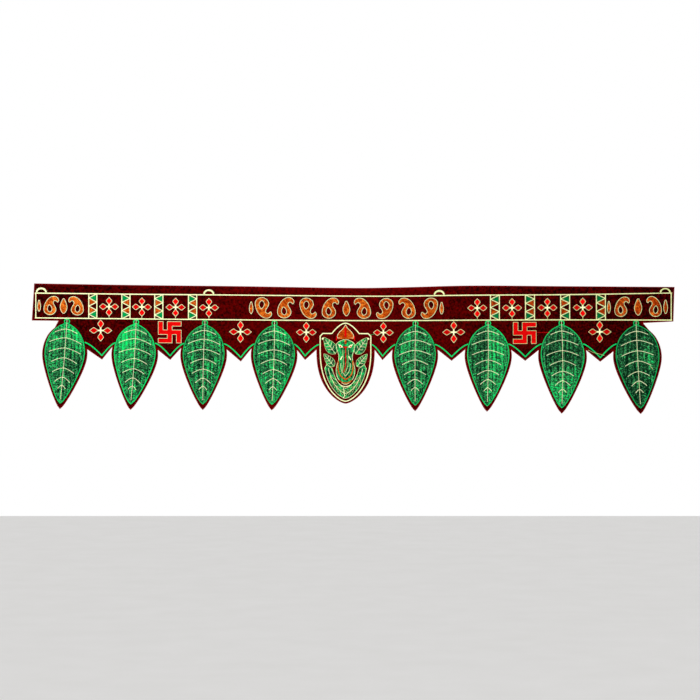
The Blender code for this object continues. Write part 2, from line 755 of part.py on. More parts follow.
def make_scroll(scroll):
    """A curled seed shape in orange, the traditional mango motif, with a crest along its spine."""
    turn = -1 if scroll.upside_down else 1

    def place(point):
        across = point[0] * scroll.size * (-1 if scroll.mirror else 1)
        return (scroll.x + across, SCROLL_V + point[1] * scroll.size * turn)

    loop = spine_loop(SCROLL, place)
    crest = [place((row.x, row.v)) for row in SCROLL[1:-1]]
    return thread_solid(scroll.name, "orange_thread", [loop], FILL_EDGE, chains=[(crest, FILL_CREST)])


def scrolls():
    """The scrolls of the band: four each side of its middle, and a facing pair in each end panel."""
    made = []
    for i in range(8):
        cell = i - 3.5
        x = CENTRE_MOTIF_X + cell * SCROLL_PITCH + math.copysign(0.0075, cell)
        made.append(Scroll(f"scroll_{i + 1}", x, 0.0335, cell > 0, i % 2 == (cell > 0)))
    ends = ((-0.4535, False), (-0.4160, True), (0.4035, False), (0.4520, True))
    for i, (x, mirror) in enumerate(ends):
        made.append(Scroll(f"end_scroll_{i + 1}", x, 0.0300, mirror, False))
    return made


def make_bud():
    """The small pointed bud in the middle of the band."""
    sides = [(0.62, 0.42), (1.0, -0.10), (0.72, -0.62)]
    shape = [(0.0, 1.0), *[(-a, b) for a, b in sides], (0.0, -1.0), *sides[::-1]]
    loop = [(CENTRE_MOTIF_X + a * BUD_HALF, SCROLL_V + b * BUD_REACH) for a, b in shape]
    crest = [(CENTRE_MOTIF_X, SCROLL_V + share * BUD_REACH) for share in (0.5, 0.0, -0.5)]
    return thread_solid("centre_bud", "orange_thread", [loop], FILL_EDGE, chains=[(crest, FILL_CREST)])


def edging_end(hanging, side):
    """The x where a drop's edging meets its neighbour, a leaf or the shield's border."""
    if hanging is None:
        return SHIELD_X + side * (BORDER_HALF + LINE_WIDTH / 2)
    root, tip, half_width = thread_leaf(hanging)
    sway = hanging.sway
    foot = LOWER_LINE - EDGING_SHOULDER - EDGING_WIDTH / 2
    along = (root[1] - foot) / (root[1] - tip[1])
    return leaf_side_point(root, tip, half_width, along, side, sway)[0]


def make_edging(number, drop, left_hanging, right_hanging):
    """The green line that follows a pointed drop's edge from one neighbour to the next."""
    gap = 0.0009
    left = edging_end(left_hanging, 1) + gap
    right = edging_end(right_hanging, -1) - gap
    shares = (1.0, 0.72, 0.46, 0.22)
    fall = drop.depth - EDGING_MARGIN - EDGING_SHOULDER
    path = []
    for end, order in ((left, shares), (right, shares[::-1])):
        for share in order:
            depth = EDGING_SHOULDER + fall * (1 - share) ** EDGING_POWER
            path.append((drop.x + (end - drop.x) * share, LOWER_LINE - depth))
        if end == left:
            path.append((drop.x, LOWER_LINE - EDGING_SHOULDER - fall))
    return stitched_line(f"drop_edging_{number}", "green_thread", path, EDGING_WIDTH)


def shield_border_path():
    """Centre line of the shield's border: the curve, two shoulders and the arch, once round."""
    corner = BORDER_SHOULDER + BORDER_CORNER
    path = shield_curve(BORDER_HALF, BORDER_TIP, corner, 11)
    shoulder_v = LOWER_LINE - BORDER_SHOULDER
    path.append((SHIELD_X + BORDER_HALF - BORDER_CORNER, shoulder_v))
    rise = BORDER_SHOULDER - ARCH_TOP
    for i in range(11):
        share = math.cos(math.pi * i / 10)
        path.append((SHIELD_X + ARCH_HALF * share, shoulder_v + rise * (1 - abs(share) ** ARCH_POWER)))
    path.append((SHIELD_X - BORDER_HALF + BORDER_CORNER, shoulder_v))
    return path


def make_shield_border():
    """The cream line round the shield."""
    path = shield_border_path()
    half = LINE_WIDTH / 2
    outer = offset_path(path, -half, closed=True)
    inner = offset_path(path, half, closed=True)
    crest = [(path + path[:1], LINE_CREST)]
    return thread_solid("shield_border", "cream_thread", [outer, inner], LINE_EDGE, chains=crest)


def shield_place(point):
    """A place on the shield given from its middle, below the lower line."""
    return (SHIELD_X + point[0], LOWER_LINE + point[1])


def make_emblem():
    """The shield's figure: the traditional seated figure with an elephant's head, made of leaves."""
    trunk = [shield_place(point) for point in TRUNK]
    figure = spine_loop(FIGURE, shield_place)
    thread_solid("emblem_figure", "leaf_thread", [figure], FILL_EDGE, chains=[(trunk, RIM_CREST)])
    crown_right = [shield_place(point) for point in CROWN]
    crown_left = [(2 * SHIELD_X - x, v) for x, v in crown_right[1:]]
    crown = crown_left[::-1] + crown_right
    crest = [shield_place((0.0, v)) for v in (-0.0120, -0.0200)]
    thread_solid("emblem_crown", "orange_thread", [crown], FILL_EDGE, chains=[(crest, FILL_CREST)])
    for name, side in (("left", -1), ("right", 1)):
        make_small_leaf(f"emblem_ear_{name}", side, EAR_ROOT, EAR_TIP, EAR_HALF)
        make_small_leaf(f"emblem_arm_{name}", side, ARM_ROOT, ARM_TIP, ARM_HALF)
    make_seat()


def make_small_leaf(name, side, root, tip, half):
    """One of the figure's small leaves, with a crest along its middle."""
    start = shield_place((side * root[0], root[1]))
    end = shield_place((side * tip[0], tip[1]))
    loop = [start] + leaf_loop(start, end, half, 7)
    crest = [tuple(Vector(start).lerp(Vector(end), share)) for share in (0.25, 0.5, 0.75)]
    return thread_solid(name, "leaf_thread", [loop], FILL_EDGE, chains=[(crest, FILL_CREST)])


def make_seat():
    """The bowl of two leaves that the figure sits in, as one crescent that follows the shield."""
    rows = ((SEAT_OUTER_HALF, SEAT_FOOT), (SEAT_INNER_HALF, SEAT_INNER_FOOT))
    outer, inner = (shield_curve(half, foot, SEAT_TOP, SEAT_STEPS) for half, foot in rows)
    crest = [((a[0] + b[0]) / 2, (a[1] + b[1]) / 2) for a, b in zip(outer, inner)]
    left_horn = shield_place((-SEAT_HORN[0], SEAT_HORN[1]))
    loop = [left_horn, *outer, shield_place(SEAT_HORN), *inner[::-1]]
    return thread_solid("emblem_seat", "leaf_thread", [loop], FILL_EDGE, chains=[(crest, FILL_CREST)])


def clear_scene():
    """Starts from an empty scene."""
    for old in list(bpy.data.objects):
        bpy.data.objects.remove(old)


def make_toran():
    """The whole hanging: the velvet first, then the thread work from the top down."""
    clear_scene()
    make_velvet_panel()
    make_band_border()
    for i, x in enumerate(RING_XS):
        make_hanging_ring(f"hanging_ring_{i + 1}", x)
    for i, x in enumerate(BAND_FLOWER_XS):
        make_flower(f"band_flower_{i + 1}", Flower(x, BAND_FLOWER_V, BAND_FLOWER_ACROSS, BAND_FLOWER_UP))
    for scroll in scrolls():
        make_scroll(scroll)
    make_bud()
    for i, leaf in enumerate(LEAVES):
        make_leaf(i + 1, leaf)
    for i, flower in enumerate(DROP_FLOWERS):
        make_flower(f"drop_flower_{i + 1}", flower)
    for name, x in zip(("swastik_left", "swastik_right"), SIGN_XS):
        make_sign(name, x)
    middle = len(LEAVES) // 2
    hangings = [*LEAVES[:middle], None, *LEAVES[middle:]]
    for i, drop in enumerate(DROPS):
        make_edging(i + 1, drop, hangings[i], hangings[i + 1])
    make_shield_border()
    make_emblem()


make_toran()
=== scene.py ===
"""Toran door hanging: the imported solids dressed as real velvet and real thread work.

Every outline is drawn on the flat cut pattern as (x, v), with v up from the top edge, as in the part's
source. A mesh is made on the pattern, with its lift in front of the cloth's back as -Y, and is then hung:
each point goes to where the hung cloth takes it. Metres. The front faces -Y.
"""

import math
from collections import namedtuple

import bmesh
import bpy
import numpy as np
from bpy.props import FloatProperty, FloatVectorProperty, PointerProperty
from bpy.types import Operator, Panel, PropertyGroup
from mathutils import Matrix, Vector
from mathutils.geometry import delaunay_2d_cdt


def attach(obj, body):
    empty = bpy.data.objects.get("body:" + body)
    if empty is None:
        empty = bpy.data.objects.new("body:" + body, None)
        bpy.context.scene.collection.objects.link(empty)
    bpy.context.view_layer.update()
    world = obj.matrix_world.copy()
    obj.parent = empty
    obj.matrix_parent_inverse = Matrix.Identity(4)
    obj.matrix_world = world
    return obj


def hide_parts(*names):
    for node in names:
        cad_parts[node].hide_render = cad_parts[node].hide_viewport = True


bl_info = {
    "name": "Toran door hanging",
    "version": (1, 0, 0),
    "blender": (4, 5, 0),
    "location": "View3D > Sidebar > Toran",
    "description": "Cuts the velvet, sews the thread work on it and sets up the studio",
    "category": "Object",
}

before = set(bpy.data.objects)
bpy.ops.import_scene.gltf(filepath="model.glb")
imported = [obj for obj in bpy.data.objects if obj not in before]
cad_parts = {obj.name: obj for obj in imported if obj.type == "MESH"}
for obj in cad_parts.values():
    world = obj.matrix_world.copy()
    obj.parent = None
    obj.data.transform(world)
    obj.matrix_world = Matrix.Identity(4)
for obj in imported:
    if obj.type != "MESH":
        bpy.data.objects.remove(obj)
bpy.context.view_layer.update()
BODY = "root"

# The panel's cut pattern
WIDTH = 0.9652
UPPER_LINE = -0.0130
LOWER_LINE = -0.0500
LEFT_FOOT = -0.0540
RIGHT_FOOT = -0.0520
RIGHT_FOOT_DROP = 0.0025
END_SLANT = 0.0035
LEFT_SHOULDER = 0.0132
RIGHT_SHOULDER = 0.0108
NOTCH_DEPTH = 0.0440
VELVET_THICKNESS = 0.0016
VELVET_STEP = 0.0042
EDGE_BAND = 0.0009
EDGE_FADE = 0.0024
GRID_MARGIN = 0.0040
CLOTH_SHOULDER = 0.085

# How the cloth stands out from the wall
BAND_RIPPLE = 0.0012
BAND_WAVE = 0.310
CURL = 0.0065
CURL_SWING = 0.0022
CURL_WAVE = 0.420
FLUTTER = 0.0009
FLUTTER_WAVE = 0.233
CURL_POWER = 1.6
LONGEST_DROP = 0.1410

# Lifts of the thread work in front of the cloth's back
GROUND_FOOT = 0.00150
GROUND_TOP = 0.00215
FILL_LIFT = 0.00205
LINE_LIFT = 0.00190
OUTLINE_LIFT = 0.00210
RIM_LIFT = 0.00240
VEIN_LIFT = 0.00262
LINE_WIDTH = 0.0026
LINE_THREAD = 0.0020
GROUND_STEP = 0.010

# How far the middle of a stitch arches over its ends
RUNNING_ARCH = 0.00015
FILL_ARCH = 0.0002
SATIN_ARCH = 0.0003
LINE_ARCH = 0.0005
RING_ARCH = 0.0006

# How far the tones and widths of like stitches vary, either way
WIDTH_PLAY = 0.07
SATIN_PLAY = 0.16
RUNNING_PLAY = 0.14
FILL_PLAY = 0.10
STITCH_PLAY = 0.06
DASH_COLUMNS = 1400
DASH_ROWS = 60
LEAF_LINES = 400
LEAF_STRIPS = 40
LEAF_LINE_PITCH = 0.0008
PLY_TURN = 0.0009
PLY_WIDTH = 0.0004

# The leaf
VELVET_LEAF_ROOT = 0.0045
THREAD_LEAF_ROOT = 0.0060
LEAF_CUT_POWER = 1.07
LEAF_MARGIN = 0.0036
LEAF_TIP_MARGIN = 0.0072
LEAF_RING_DEPTH = 0.0047
LEAF_RING_RADIUS = 0.0037
LEAF_RING_WIDTH = 0.0019
LEAF_RING_START = 62
LEAF_RIM_WIDTH = 0.0014
LEAF_ROW_SLOPE = math.radians(27)
MIDRIB_END = 0.94
MIDRIB_SHARE = 0.85
MIDRIB_STITCH = 0.0026
VEIN_STITCH = 0.0024

# The shield: its straight sides end at the spring, and its curve runs on to the tip
SHIELD_X = -0.0115
SHIELD_HALF = 0.0438
SHIELD_SPRING = 0.0440
SHIELD_TIP = 0.1245
SHIELD_POWER = 2.4
SHIELD_ROUNDING = 0.65
BORDER_HALF = 0.0380
BORDER_TIP = 0.1210
BORDER_SHOULDER = 0.0195
BORDER_CORNER = 0.0040
ARCH_HALF = 0.0205
ARCH_TOP = 0.0038
ARCH_POWER = 1.7

# The green edging of a pointed drop
EDGING_SHOULDER = 0.0360
EDGING_MARGIN = 0.0060
EDGING_POWER = 1.4
EDGING_WIDTH = 0.0021

# Flowers, signs, hanging rings and scrolls
PETAL_HALF = 0.0047
HEART_SHARE = 0.27
HEART_WIDTH = 0.0027
STEM_WIDTH = 0.0010
BAND_FLOWER_V = -0.0320
DROP_FLOWER_DEPTH = 0.0179
SIGN_DEPTH = 0.0195
SIGN_UNIT_X = 0.0068
SIGN_UNIT_V = 0.0063
RING_HALF = 0.0086
RING_HEIGHT = 0.0072
RING_WIDTH = 0.0030
SCROLL_V = -0.0315
SCROLL_PITCH = 0.0335
SCROLL_SIZE = 0.0335
SCROLL_GAP = 0.0075
MIDDLE_SCROLLS = 8
END_SCROLL_SIZE = 0.0300
END_SCROLLS = ((-0.4535, False), (-0.4160, True), (0.4035, False), (0.4520, True))
CENTRE_MOTIF_X = -0.0102

# Buds of the band: their place, half width and reach
Bud = namedtuple("Bud", "x half reach")
CENTRE_BUD = Bud(CENTRE_MOTIF_X, 0.0052, 0.0120)
BUDS = (
    Bud(-0.4716, 0.0022, 0.0090),
    Bud(-0.43475, 0.0052, 0.0120),
    Bud(0.3838, 0.0022, 0.0092),
    Bud(0.42775, 0.0056, 0.0125),
    Bud(0.4690, 0.0028, 0.0100),
    Bud(-0.1532, 0.0026, 0.0095),
    Bud(0.1328, 0.0026, 0.0095),
)

# Heights of the hung cloth at places along it, above the middle of its top edge
HangRow = namedtuple("HangRow", "x top_edge upper_line lower_line")
HANG = (
    HangRow(-0.4826, 0.0069, -0.0077, -0.0449),
    HangRow(-0.330, 0.0044, -0.0095, -0.0465),
    HangRow(-0.170, 0.0026, -0.0108, -0.0480),
    HangRow(0.000, 0.0000, -0.0123, -0.0491),
    HangRow(0.075, 0.0010, -0.0123, -0.0491),
    HangRow(0.175, 0.0035, -0.0110, -0.0484),
    HangRow(0.320, 0.0026, -0.0101, -0.0480),
    HangRow(0.4826, 0.0015, -0.0074, -0.0484),
)

# Leaves of the panel from left to right. Depths are below the lower line, and sway bends the middle line
Leaf = namedtuple("Leaf", "x_top x_tip depth half_width sway")
LEAVES = (
    Leaf(-0.4296, -0.4396, 0.1363, 0.0339, 0.0004),
    Leaf(-0.3257, -0.3337, 0.1364, 0.0350, 0.0009),
    Leaf(-0.2225, -0.2255, 0.1356, 0.0350, -0.0009),
    Leaf(-0.1180, -0.1222, 0.1354, 0.0350, 0.0009),
    Leaf(0.0935, 0.0928, 0.1357, 0.0347, -0.0005),
    Leaf(0.2025, 0.2007, 0.1375, 0.0354, 0.0010),
    Leaf(0.3127, 0.3125, 0.1405, 0.0365, 0.0017),
    Leaf(0.4246, 0.4309, 0.1408, 0.0365, -0.0003),
)

# Half width of a leaf along it, as shares of its length and of its greatest half width
LeafRow = namedtuple("LeafRow", "along half")
LEAF_SHAPE = (
    LeafRow(0.00, 0.000),
    LeafRow(0.05, 0.380),
    LeafRow(0.10, 0.610),
    LeafRow(0.15, 0.770),
    LeafRow(0.20, 0.870),
    LeafRow(0.28, 0.965),
    LeafRow(0.37, 1.000),
    LeafRow(0.45, 0.968),
    LeafRow(0.54, 0.878),
    LeafRow(0.64, 0.747),
    LeafRow(0.74, 0.592),
    LeafRow(0.84, 0.418),
    LeafRow(0.92, 0.252),
    LeafRow(0.97, 0.125),
    LeafRow(1.00, 0.000),
)

# Veins of a leaf: where each leaves the midrib, as a share of its length, its reach and its droop
Vein = namedtuple("Vein", "share reach droop")
VEINS = (
    Vein(0.084, 0.0170, 0.0057),
    Vein(0.191, 0.0240, 0.0075),
    Vein(0.315, 0.0240, 0.0072),
    Vein(0.434, 0.0195, 0.0072),
    Vein(0.558, 0.0165, 0.0070),
    Vein(0.669, 0.0115, 0.0075),
    Vein(0.769, 0.0060, 0.0052),
)
VEIN_POWER = 1.6

# How bright each leaf's thread is: its general tone, and brighter or darker patches of it, placed by share
# across (-1 left edge, 1 right edge) and share along, with their half sizes and how much they change the tone
Patch = namedtuple("Patch", "across along wide tall change")
Mood = namedtuple("Mood", "tone rim patches")
LEAF_MOODS = (
    Mood(0.36, 0.72, (Patch(0.7, 0.12, 0.5, 0.14, 0.40), Patch(0.6, 0.62, 0.5, 0.22, -0.20))),
    Mood(0.37, 0.92, (Patch(-0.5, 0.20, 0.6, 0.28, 0.55), Patch(0.4, 0.55, 0.6, 0.3, -0.12))),
    Mood(0.38, 0.60, (Patch(0.3, 0.15, 0.6, 0.12, 0.15), Patch(-0.3, 0.5, 0.5, 0.3, -0.05))),
    Mood(0.38, 0.60, (Patch(0.4, 0.12, 0.5, 0.12, 0.15), Patch(-0.3, 0.5, 0.5, 0.3, -0.05))),
    Mood(0.37, 0.60, (Patch(-0.5, 0.2, 0.4, 0.2, 0.12), Patch(0.4, 0.55, 0.6, 0.3, -0.10))),
    Mood(0.30, 0.76, (Patch(0.5, 0.42, 0.42, 0.5, 0.42), Patch(-0.5, 0.45, 0.5, 0.4, -0.12))),
    Mood(0.24, 0.72, (Patch(0.0, 0.75, 0.9, 0.22, 0.40), Patch(0.0, 0.3, 1.2, 0.2, -0.10))),
    Mood(0.08, 0.46, (Patch(0.45, 0.42, 0.3, 0.12, 0.36),)),
)

# Pointed drops between the leaves and the shield
Drop = namedtuple("Drop", "x depth")
DROPS = (
    Drop(-0.3770, 0.0615),
    Drop(-0.2747, 0.0610),
    Drop(-0.1687, 0.0625),
    Drop(-0.0723, 0.0595),
    Drop(0.0440, 0.0592),
    Drop(0.1478, 0.0608),
    Drop(0.2583, 0.0614),
    Drop(0.3707, 0.0627),
)

Flower = namedtuple("Flower", "x v across up")
BAND_FLOWER_XS = (-0.3665, -0.3172, -0.2666, -0.2166, 0.1863, 0.2385, 0.2915, 0.3446)
DROP_FLOWERS = (
    Flower(-0.3790, LOWER_LINE - DROP_FLOWER_DEPTH, 0.0166, 0.0160),
    Flower(-0.1692, LOWER_LINE - DROP_FLOWER_DEPTH, 0.0164, 0.0160),
    Flower(-0.0704, LOWER_LINE - DROP_FLOWER_DEPTH, 0.0148, 0.0150),
    Flower(0.0453, LOWER_LINE - DROP_FLOWER_DEPTH, 0.0148, 0.0150),
    Flower(0.1510, LOWER_LINE - DROP_FLOWER_DEPTH, 0.0166, 0.0160),
    Flower(0.3700, LOWER_LINE - DROP_FLOWER_DEPTH, 0.0170, 0.0160),
)
BAND_FLOWER_ACROSS = 0.0144
BAND_FLOWER_UP = 0.0138
SIGNS = (("swastik_left", -0.2753), ("swastik_right", 0.2574))
RING_XS = (-0.4682, -0.2168, 0.1292, 0.4686)

# Strips of the band: centre, width between their two lines, and the side where their zigzag starts
Strip = namedtuple("Strip", "x width side")
STRIPS = (
    Strip(-0.3909, 0.0121, 1),
    Strip(-0.3412, 0.0123, -1),
    Strip(-0.2918, 0.0123, 1),
    Strip(-0.2411, 0.0123, -1),
    Strip(0.2128, 0.0133, 1),
    Strip(0.2654, 0.0135, -1),
    Strip(0.3182, 0.0135, 1),
    Strip(0.3719, 0.0135, -1),
)
ZIGZAGS = 6
ZIGZAG_WIDTH = 0.0016
BORDER_LEFT = -0.4765
BORDER_RIGHT = 0.4775

# Half width of a petal along it, as shares of its length and of its greatest half width
PetalRow = namedtuple("PetalRow", "along half")
PETAL_THREAD = (
    PetalRow(0.40, 0.44),
    PetalRow(0.54, 0.86),
    PetalRow(0.63, 1.00),
    PetalRow(0.72, 0.84),
    PetalRow(0.85, 0.40),
)

# A scroll's spine from its round head to its curled tip, in units of its size
SpineRow = namedtuple("SpineRow", "x v half")
SCROLL = (
    SpineRow(-0.02, -0.46, 0.00),
    SpineRow(-0.03, -0.38, 0.21),
    SpineRow(-0.05, -0.24, 0.30),
    SpineRow(-0.08, -0.08, 0.28),
    SpineRow(-0.09, 0.10, 0.20),
    SpineRow(-0.03, 0.26, 0.14),
    SpineRow(0.10, 0.36, 0.11),
    SpineRow(0.24, 0.36, 0.09),
    SpineRow(0.33, 0.27, 0.06),
    SpineRow(0.33, 0.17, 0.00),
)
SCROLL_EYE = (
    SpineRow(-0.045, -0.34, 0.00),
    SpineRow(-0.055, -0.27, 0.095),
    SpineRow(-0.070, -0.17, 0.135),
    SpineRow(-0.085, -0.04, 0.105),
    SpineRow(-0.090, 0.08, 0.00),
)
Scroll = namedtuple("Scroll", "name x size mirror upside_down")

# The shield's figure, from the shield's middle and below the lower line
FIGURE = (
    SpineRow(0.0, -0.0270, 0.0102),
    SpineRow(0.0, -0.0335, 0.0140),
    SpineRow(0.0, -0.0420, 0.0138),
    SpineRow(0.0, -0.0500, 0.0105),
    SpineRow(0.0, -0.0570, 0.0098),
    SpineRow(0.0, -0.0660, 0.0128),
    SpineRow(0.0, -0.0760, 0.0145),
    SpineRow(0.0, -0.0860, 0.0122),
    SpineRow(0.0, -0.0925, 0.0070),
    SpineRow(0.0, -0.0965, 0.0000),
)
TRUNK = ((0.0, -0.0440), (0.0005, -0.0580), (0.0, -0.0700), (-0.0035, -0.0790))
TRUNK_TOP = (0.0, -0.0405)
TRUNK_HALF = 0.0043
TRUNK_TAPER = 0.13
CROWN = ((0.0, -0.0062), (0.0035, -0.0120), (0.0085, -0.0165), (0.0120, -0.0215), (0.0118, -0.0262))
EYE = ((0.0034, -0.0404), (0.0064, -0.0366), (0.0112, -0.0352), (0.0086, -0.0408))
FigureLeaf = namedtuple("FigureLeaf", "name root tip half")
FIGURE_LEAVES = (
    FigureLeaf("ear", (0.0152, -0.0500), (0.0325, -0.0255), 0.0082),
    FigureLeaf("arm", (0.0172, -0.0690), (0.0325, -0.0500), 0.0063),
)
FIGURE_LEAF_ANGLE = math.radians(38)
SEAT_TOP = 0.0720
SEAT_HORN = (0.0280, -0.0655)
SEAT_OUTER_HALF = 0.0335
SEAT_FOOT = 0.1165
SEAT_INNER_HALF = 0.0230
SEAT_INNER_FOOT = 0.1015
SEAT_VEIN_STEP = 4

# The figure's sewn lines in their order: the body's, those of each side, and the face's
Detail = namedtuple("Detail", "thread width lift tone curved path")
BODY_LINES = (
    Detail(
        "cream_thread",
        0.0012,
        VEIN_LIFT + 0.0002,
        0.95,
        False,
        ((-0.0030, -SEAT_INNER_FOOT), (-0.0012, -SEAT_FOOT + 0.004), (-0.0034, -SEAT_FOOT)),
    ),
    Detail(
        "cream_thread",
        0.0015,
        LINE_LIFT,
        0.95,
        True,
        ((-0.0150, -0.0880), (-0.0080, -0.0970), (0.0, -0.0996), (0.0085, -0.0968), (0.0160, -0.0870)),
    ),
    Detail(
        "orange_thread", 0.0019, VEIN_LIFT, 0.5, True, ((-0.0100, -0.0900), (0.0, -0.0952), (0.0100, -0.0898))
    ),
    Detail(
        "orange_thread", 0.0020, VEIN_LIFT, 0.6, True, ((-0.0122, -0.0274), (0.0, -0.0262), (0.0122, -0.0274))
    ),
)
PUPIL = Detail("red_thread", 0.0024, RIM_LIFT + 0.0006, 0.7, False, ((0.0070, -0.0380), (0.0080, -0.0396)))
SIDE_LINES = (
    Detail(
        "orange_thread",
        0.0020,
        VEIN_LIFT,
        0.6,
        True,
        ((0.0108, -0.0600), (0.0118, -0.0720), (0.0085, -0.0830), (0.0, -0.0885)),
    ),
    Detail("cream_thread", 0.0008, VEIN_LIFT, 0.8, True, ((0.0072, -0.0640), (0.0070, -0.0740), (0.0, -0.0835))),
    Detail("red_thread", 0.0021, VEIN_LIFT, 0.65, False, ((0.0132, -0.0235), (0.0138, -0.0300))),
    Detail("cream_thread", 0.0028, OUTLINE_LIFT, 1.0, False, ((0.0330, -0.0262), (0.0352, -0.0282))),
    Detail("cream_thread", 0.0018, VEIN_LIFT, 1.1, False, ((0.0048, -0.0535), (0.0078, -0.0590))),
)
FACE_LINES = (
    Detail("red_thread", 0.0024, VEIN_LIFT, 0.7, False, ((-0.0028, -0.0400), (0.0028, -0.0400))),
    Detail("red_thread", 0.0036, VEIN_LIFT, 0.68, False, ((0.0, -0.0108), (0.0, -0.0250))),
    Detail("orange_thread", 0.0034, VEIN_LIFT, 0.6, False, ((0.0, -0.0298), (0.0, -0.0348))),
    Detail("red_thread", 0.0016, VEIN_LIFT + 0.0004, 0.3, False, ((0.0, -0.0312), (0.0, -0.0334))),
)


def shade(red, green, blue):
    """A colour of the photograph's scale, 0 to 255, as Blender's linear colour."""
    linear = []
    for value in (red, green, blue):
        share = value / 255
        linear.append(share / 12.92 if share <= 0.04045 else ((share + 0.055) / 1.055) ** 2.4)
    return (*linear, 1.0)


def colour(name, about, value):
    """A colour that the sidebar shows."""
    return FloatVectorProperty(
        name=name, description=about, subtype="COLOR", size=4, min=0.0, max=1.0, default=value
    )


def length(name, about, value):
    """A length that the sidebar shows."""
    return FloatProperty(name=name, description=about, subtype="DISTANCE", unit="LENGTH", default=value)


class ToranColours(PropertyGroup):
    """Colours of the velvet and of the threads."""

    velvet: colour("Velvet", "The pile where it lies flat", shade(12, 0, 0))
    velvet_light: colour("Velvet, brushed", "The pile where it is brushed up", shade(90, 1, 1))
    velvet_edge: colour("Cut edge", "The pile along the cut edges", shade(112, 3, 7))
    velvet_back: colour("Velvet, back", "The woven ground of the velvet", shade(84, 16, 20))
    # Each thread's dark and light colours are that thread with painted shade and painted light. The leaf
    # thread's shadow is painted shade between its stitches, and its bright stop is a painted highlight.
    leaf_shadow: colour("Leaf thread, shadow", "The leaf thread between its stitches", shade(0, 14, 8))
    leaf_dark: colour("Leaf thread, dark", "The leaf thread that turns from the light", shade(18, 66, 38))
    leaf_light: colour("Leaf thread, light", "The leaf thread that faces the light", shade(72, 142, 92))
    leaf_bright: colour("Leaf thread, bright", "The leaf thread at its brightest", shade(0, 226, 112))
    green_dark: colour("Green thread, dark", "The bright green thread in shade", shade(0, 70, 34))
    green_light: colour("Green thread, light", "The bright green thread in light", shade(6, 232, 122))
    cream_dark: colour("Cream thread, dark", "The cream thread in shade", shade(104, 96, 46))
    cream: colour("Cream thread", "The cream thread by itself", shade(196, 204, 122))
    cream_light: colour("Cream thread, light", "The cream thread in light", shade(250, 255, 206))
    red_dark: colour("Red thread, dark", "The red thread in shade", shade(116, 0, 2))
    red_light: colour("Red thread, light", "The red thread in light", shade(244, 12, 12))
    orange_dark: colour("Orange thread, dark", "The orange thread in shade", shade(112, 12, 0))
    orange: colour("Orange thread", "The orange thread by itself", shade(190, 68, 6))
    orange_light: colour("Orange thread, light", "The orange thread in light", shade(252, 150, 44))


class ToranSewing(PropertyGroup):
    """Sizes of the stitches."""

    line_pitch: length("Line pitch", "From one stitch to the next along a satin line", 0.00052)
    outline_width: length("Outline width", "Width of the cream outline of a motif", 0.00085)
    leaf_pitch: length("Leaf pitch", "From one row of a leaf's stitches to the next", 0.00075)
    leaf_stitch: length("Leaf stitch", "Length of a stitch of a leaf's filling", 0.0058)
    fill_pitch: length("Fill pitch", "From one column of a motif's filling to the next", 0.00055)
    fill_stitch: length("Fill stitch", "Length of a stitch of a motif's filling", 0.0042)
    vein_width: length("Vein width", "Width of a leaf's veins", 0.00098)
    thread_height: length("Thread height", "Height of a stitch over what it lies on", 0.00048)


class ToranStudio(PropertyGroup):
    """The studio's light and the photograph's view."""

    view_width: length("View width", "Width of the view where the toran hangs", 1.0507)
    view_x: length("View centre across", "Middle of the view across", -0.0048)
    view_z: length("View centre up", "Middle of the view in height", -0.0932)
    floor_depth: length("Floor depth", "The floor below the toran's top edge", 2.05)
    key_power: FloatProperty(
        name="Key light", description="Power of the soft light from the left", unit="POWER", default=78.0
    )
    fill_power: FloatProperty(
        name="Fill light", description="Power of the soft light from the right", unit="POWER", default=26.0
    )
    room_light: FloatProperty(
        name="Room light", description="Strength of the light from all round", default=0.80
    )


def through_rows(rows, at, column):
    """One column of a table at values of its first column, on a smooth curve through the rows."""
    table = np.array(rows, dtype=float)
    xs, ys = table[:, 0], table[:, rows[0]._fields.index(column)]
    slopes = np.empty_like(ys)
    slopes[1:-1] = (ys[2:] - ys[:-2]) / (xs[2:] - xs[:-2])
    slopes[0] = (ys[1] - ys[0]) / (xs[1] - xs[0])
    slopes[-1] = (ys[-1] - ys[-2]) / (xs[-1] - xs[-2])
    at = np.asarray(at, dtype=float)
    i = np.clip(np.searchsorted(xs, at, side="right") - 1, 0, len(xs) - 2)
    span = xs[i + 1] - xs[i]
    s = (at - xs[i]) / span
    level = ys[i] * (1 + 2 * s) * (1 - s) ** 2 + ys[i + 1] * s * s * (3 - 2 * s)
    return level + span * s * (1 - s) * (slopes[i] * (1 - s) - slopes[i + 1] * s)


def height(x, v):
    """Heights of the pattern's points (x, v) once the cloth hangs."""
    top, upper, lower = (through_rows(HANG, x, name) for name in ("top_edge", "upper_line", "lower_line"))
    flap = v / UPPER_LINE
    band = (v - UPPER_LINE) / (LOWER_LINE - UPPER_LINE)
    on_flap = top * (1 - flap) + upper * flap
    on_band = upper * (1 - band) + lower * band
    return np.where(v >= UPPER_LINE, on_flap, np.where(v >= LOWER_LINE, on_band, lower + v - LOWER_LINE))


def bow(x, v):
    """How far the back of the cloth stands out from the wall."""
    ripple = BAND_RIPPLE * (1 + np.sin(2 * math.pi * x / BAND_WAVE + 1.0)) / 2
    curl = CURL + CURL_SWING * np.sin(2 * math.pi * x / CURL_WAVE + 0.6)
    curl = curl + FLUTTER * np.sin(2 * math.pi * x / FLUTTER_WAVE)
    share = np.clip((UPPER_LINE - v) / (UPPER_LINE - LOWER_LINE), 0, 1)
    drop_share = np.maximum(0.0, (LOWER_LINE - v) / LONGEST_DROP)
    return ripple * share * share * (3 - 2 * share) + curl * drop_share**CURL_POWER


def hang(mesh):
    """Takes a mesh from the pattern, where -Y is its lift, to its place on the hung cloth."""
    flat = np.empty(len(mesh.vertices) * 3)
    mesh.vertices.foreach_get("co", flat)
    x, lift, v = flat.reshape(-1, 3).T.copy()
    mesh.vertices.foreach_set("co", np.column_stack([x, lift - bow(x, v), height(x, v)]).ravel())
    mesh.update()


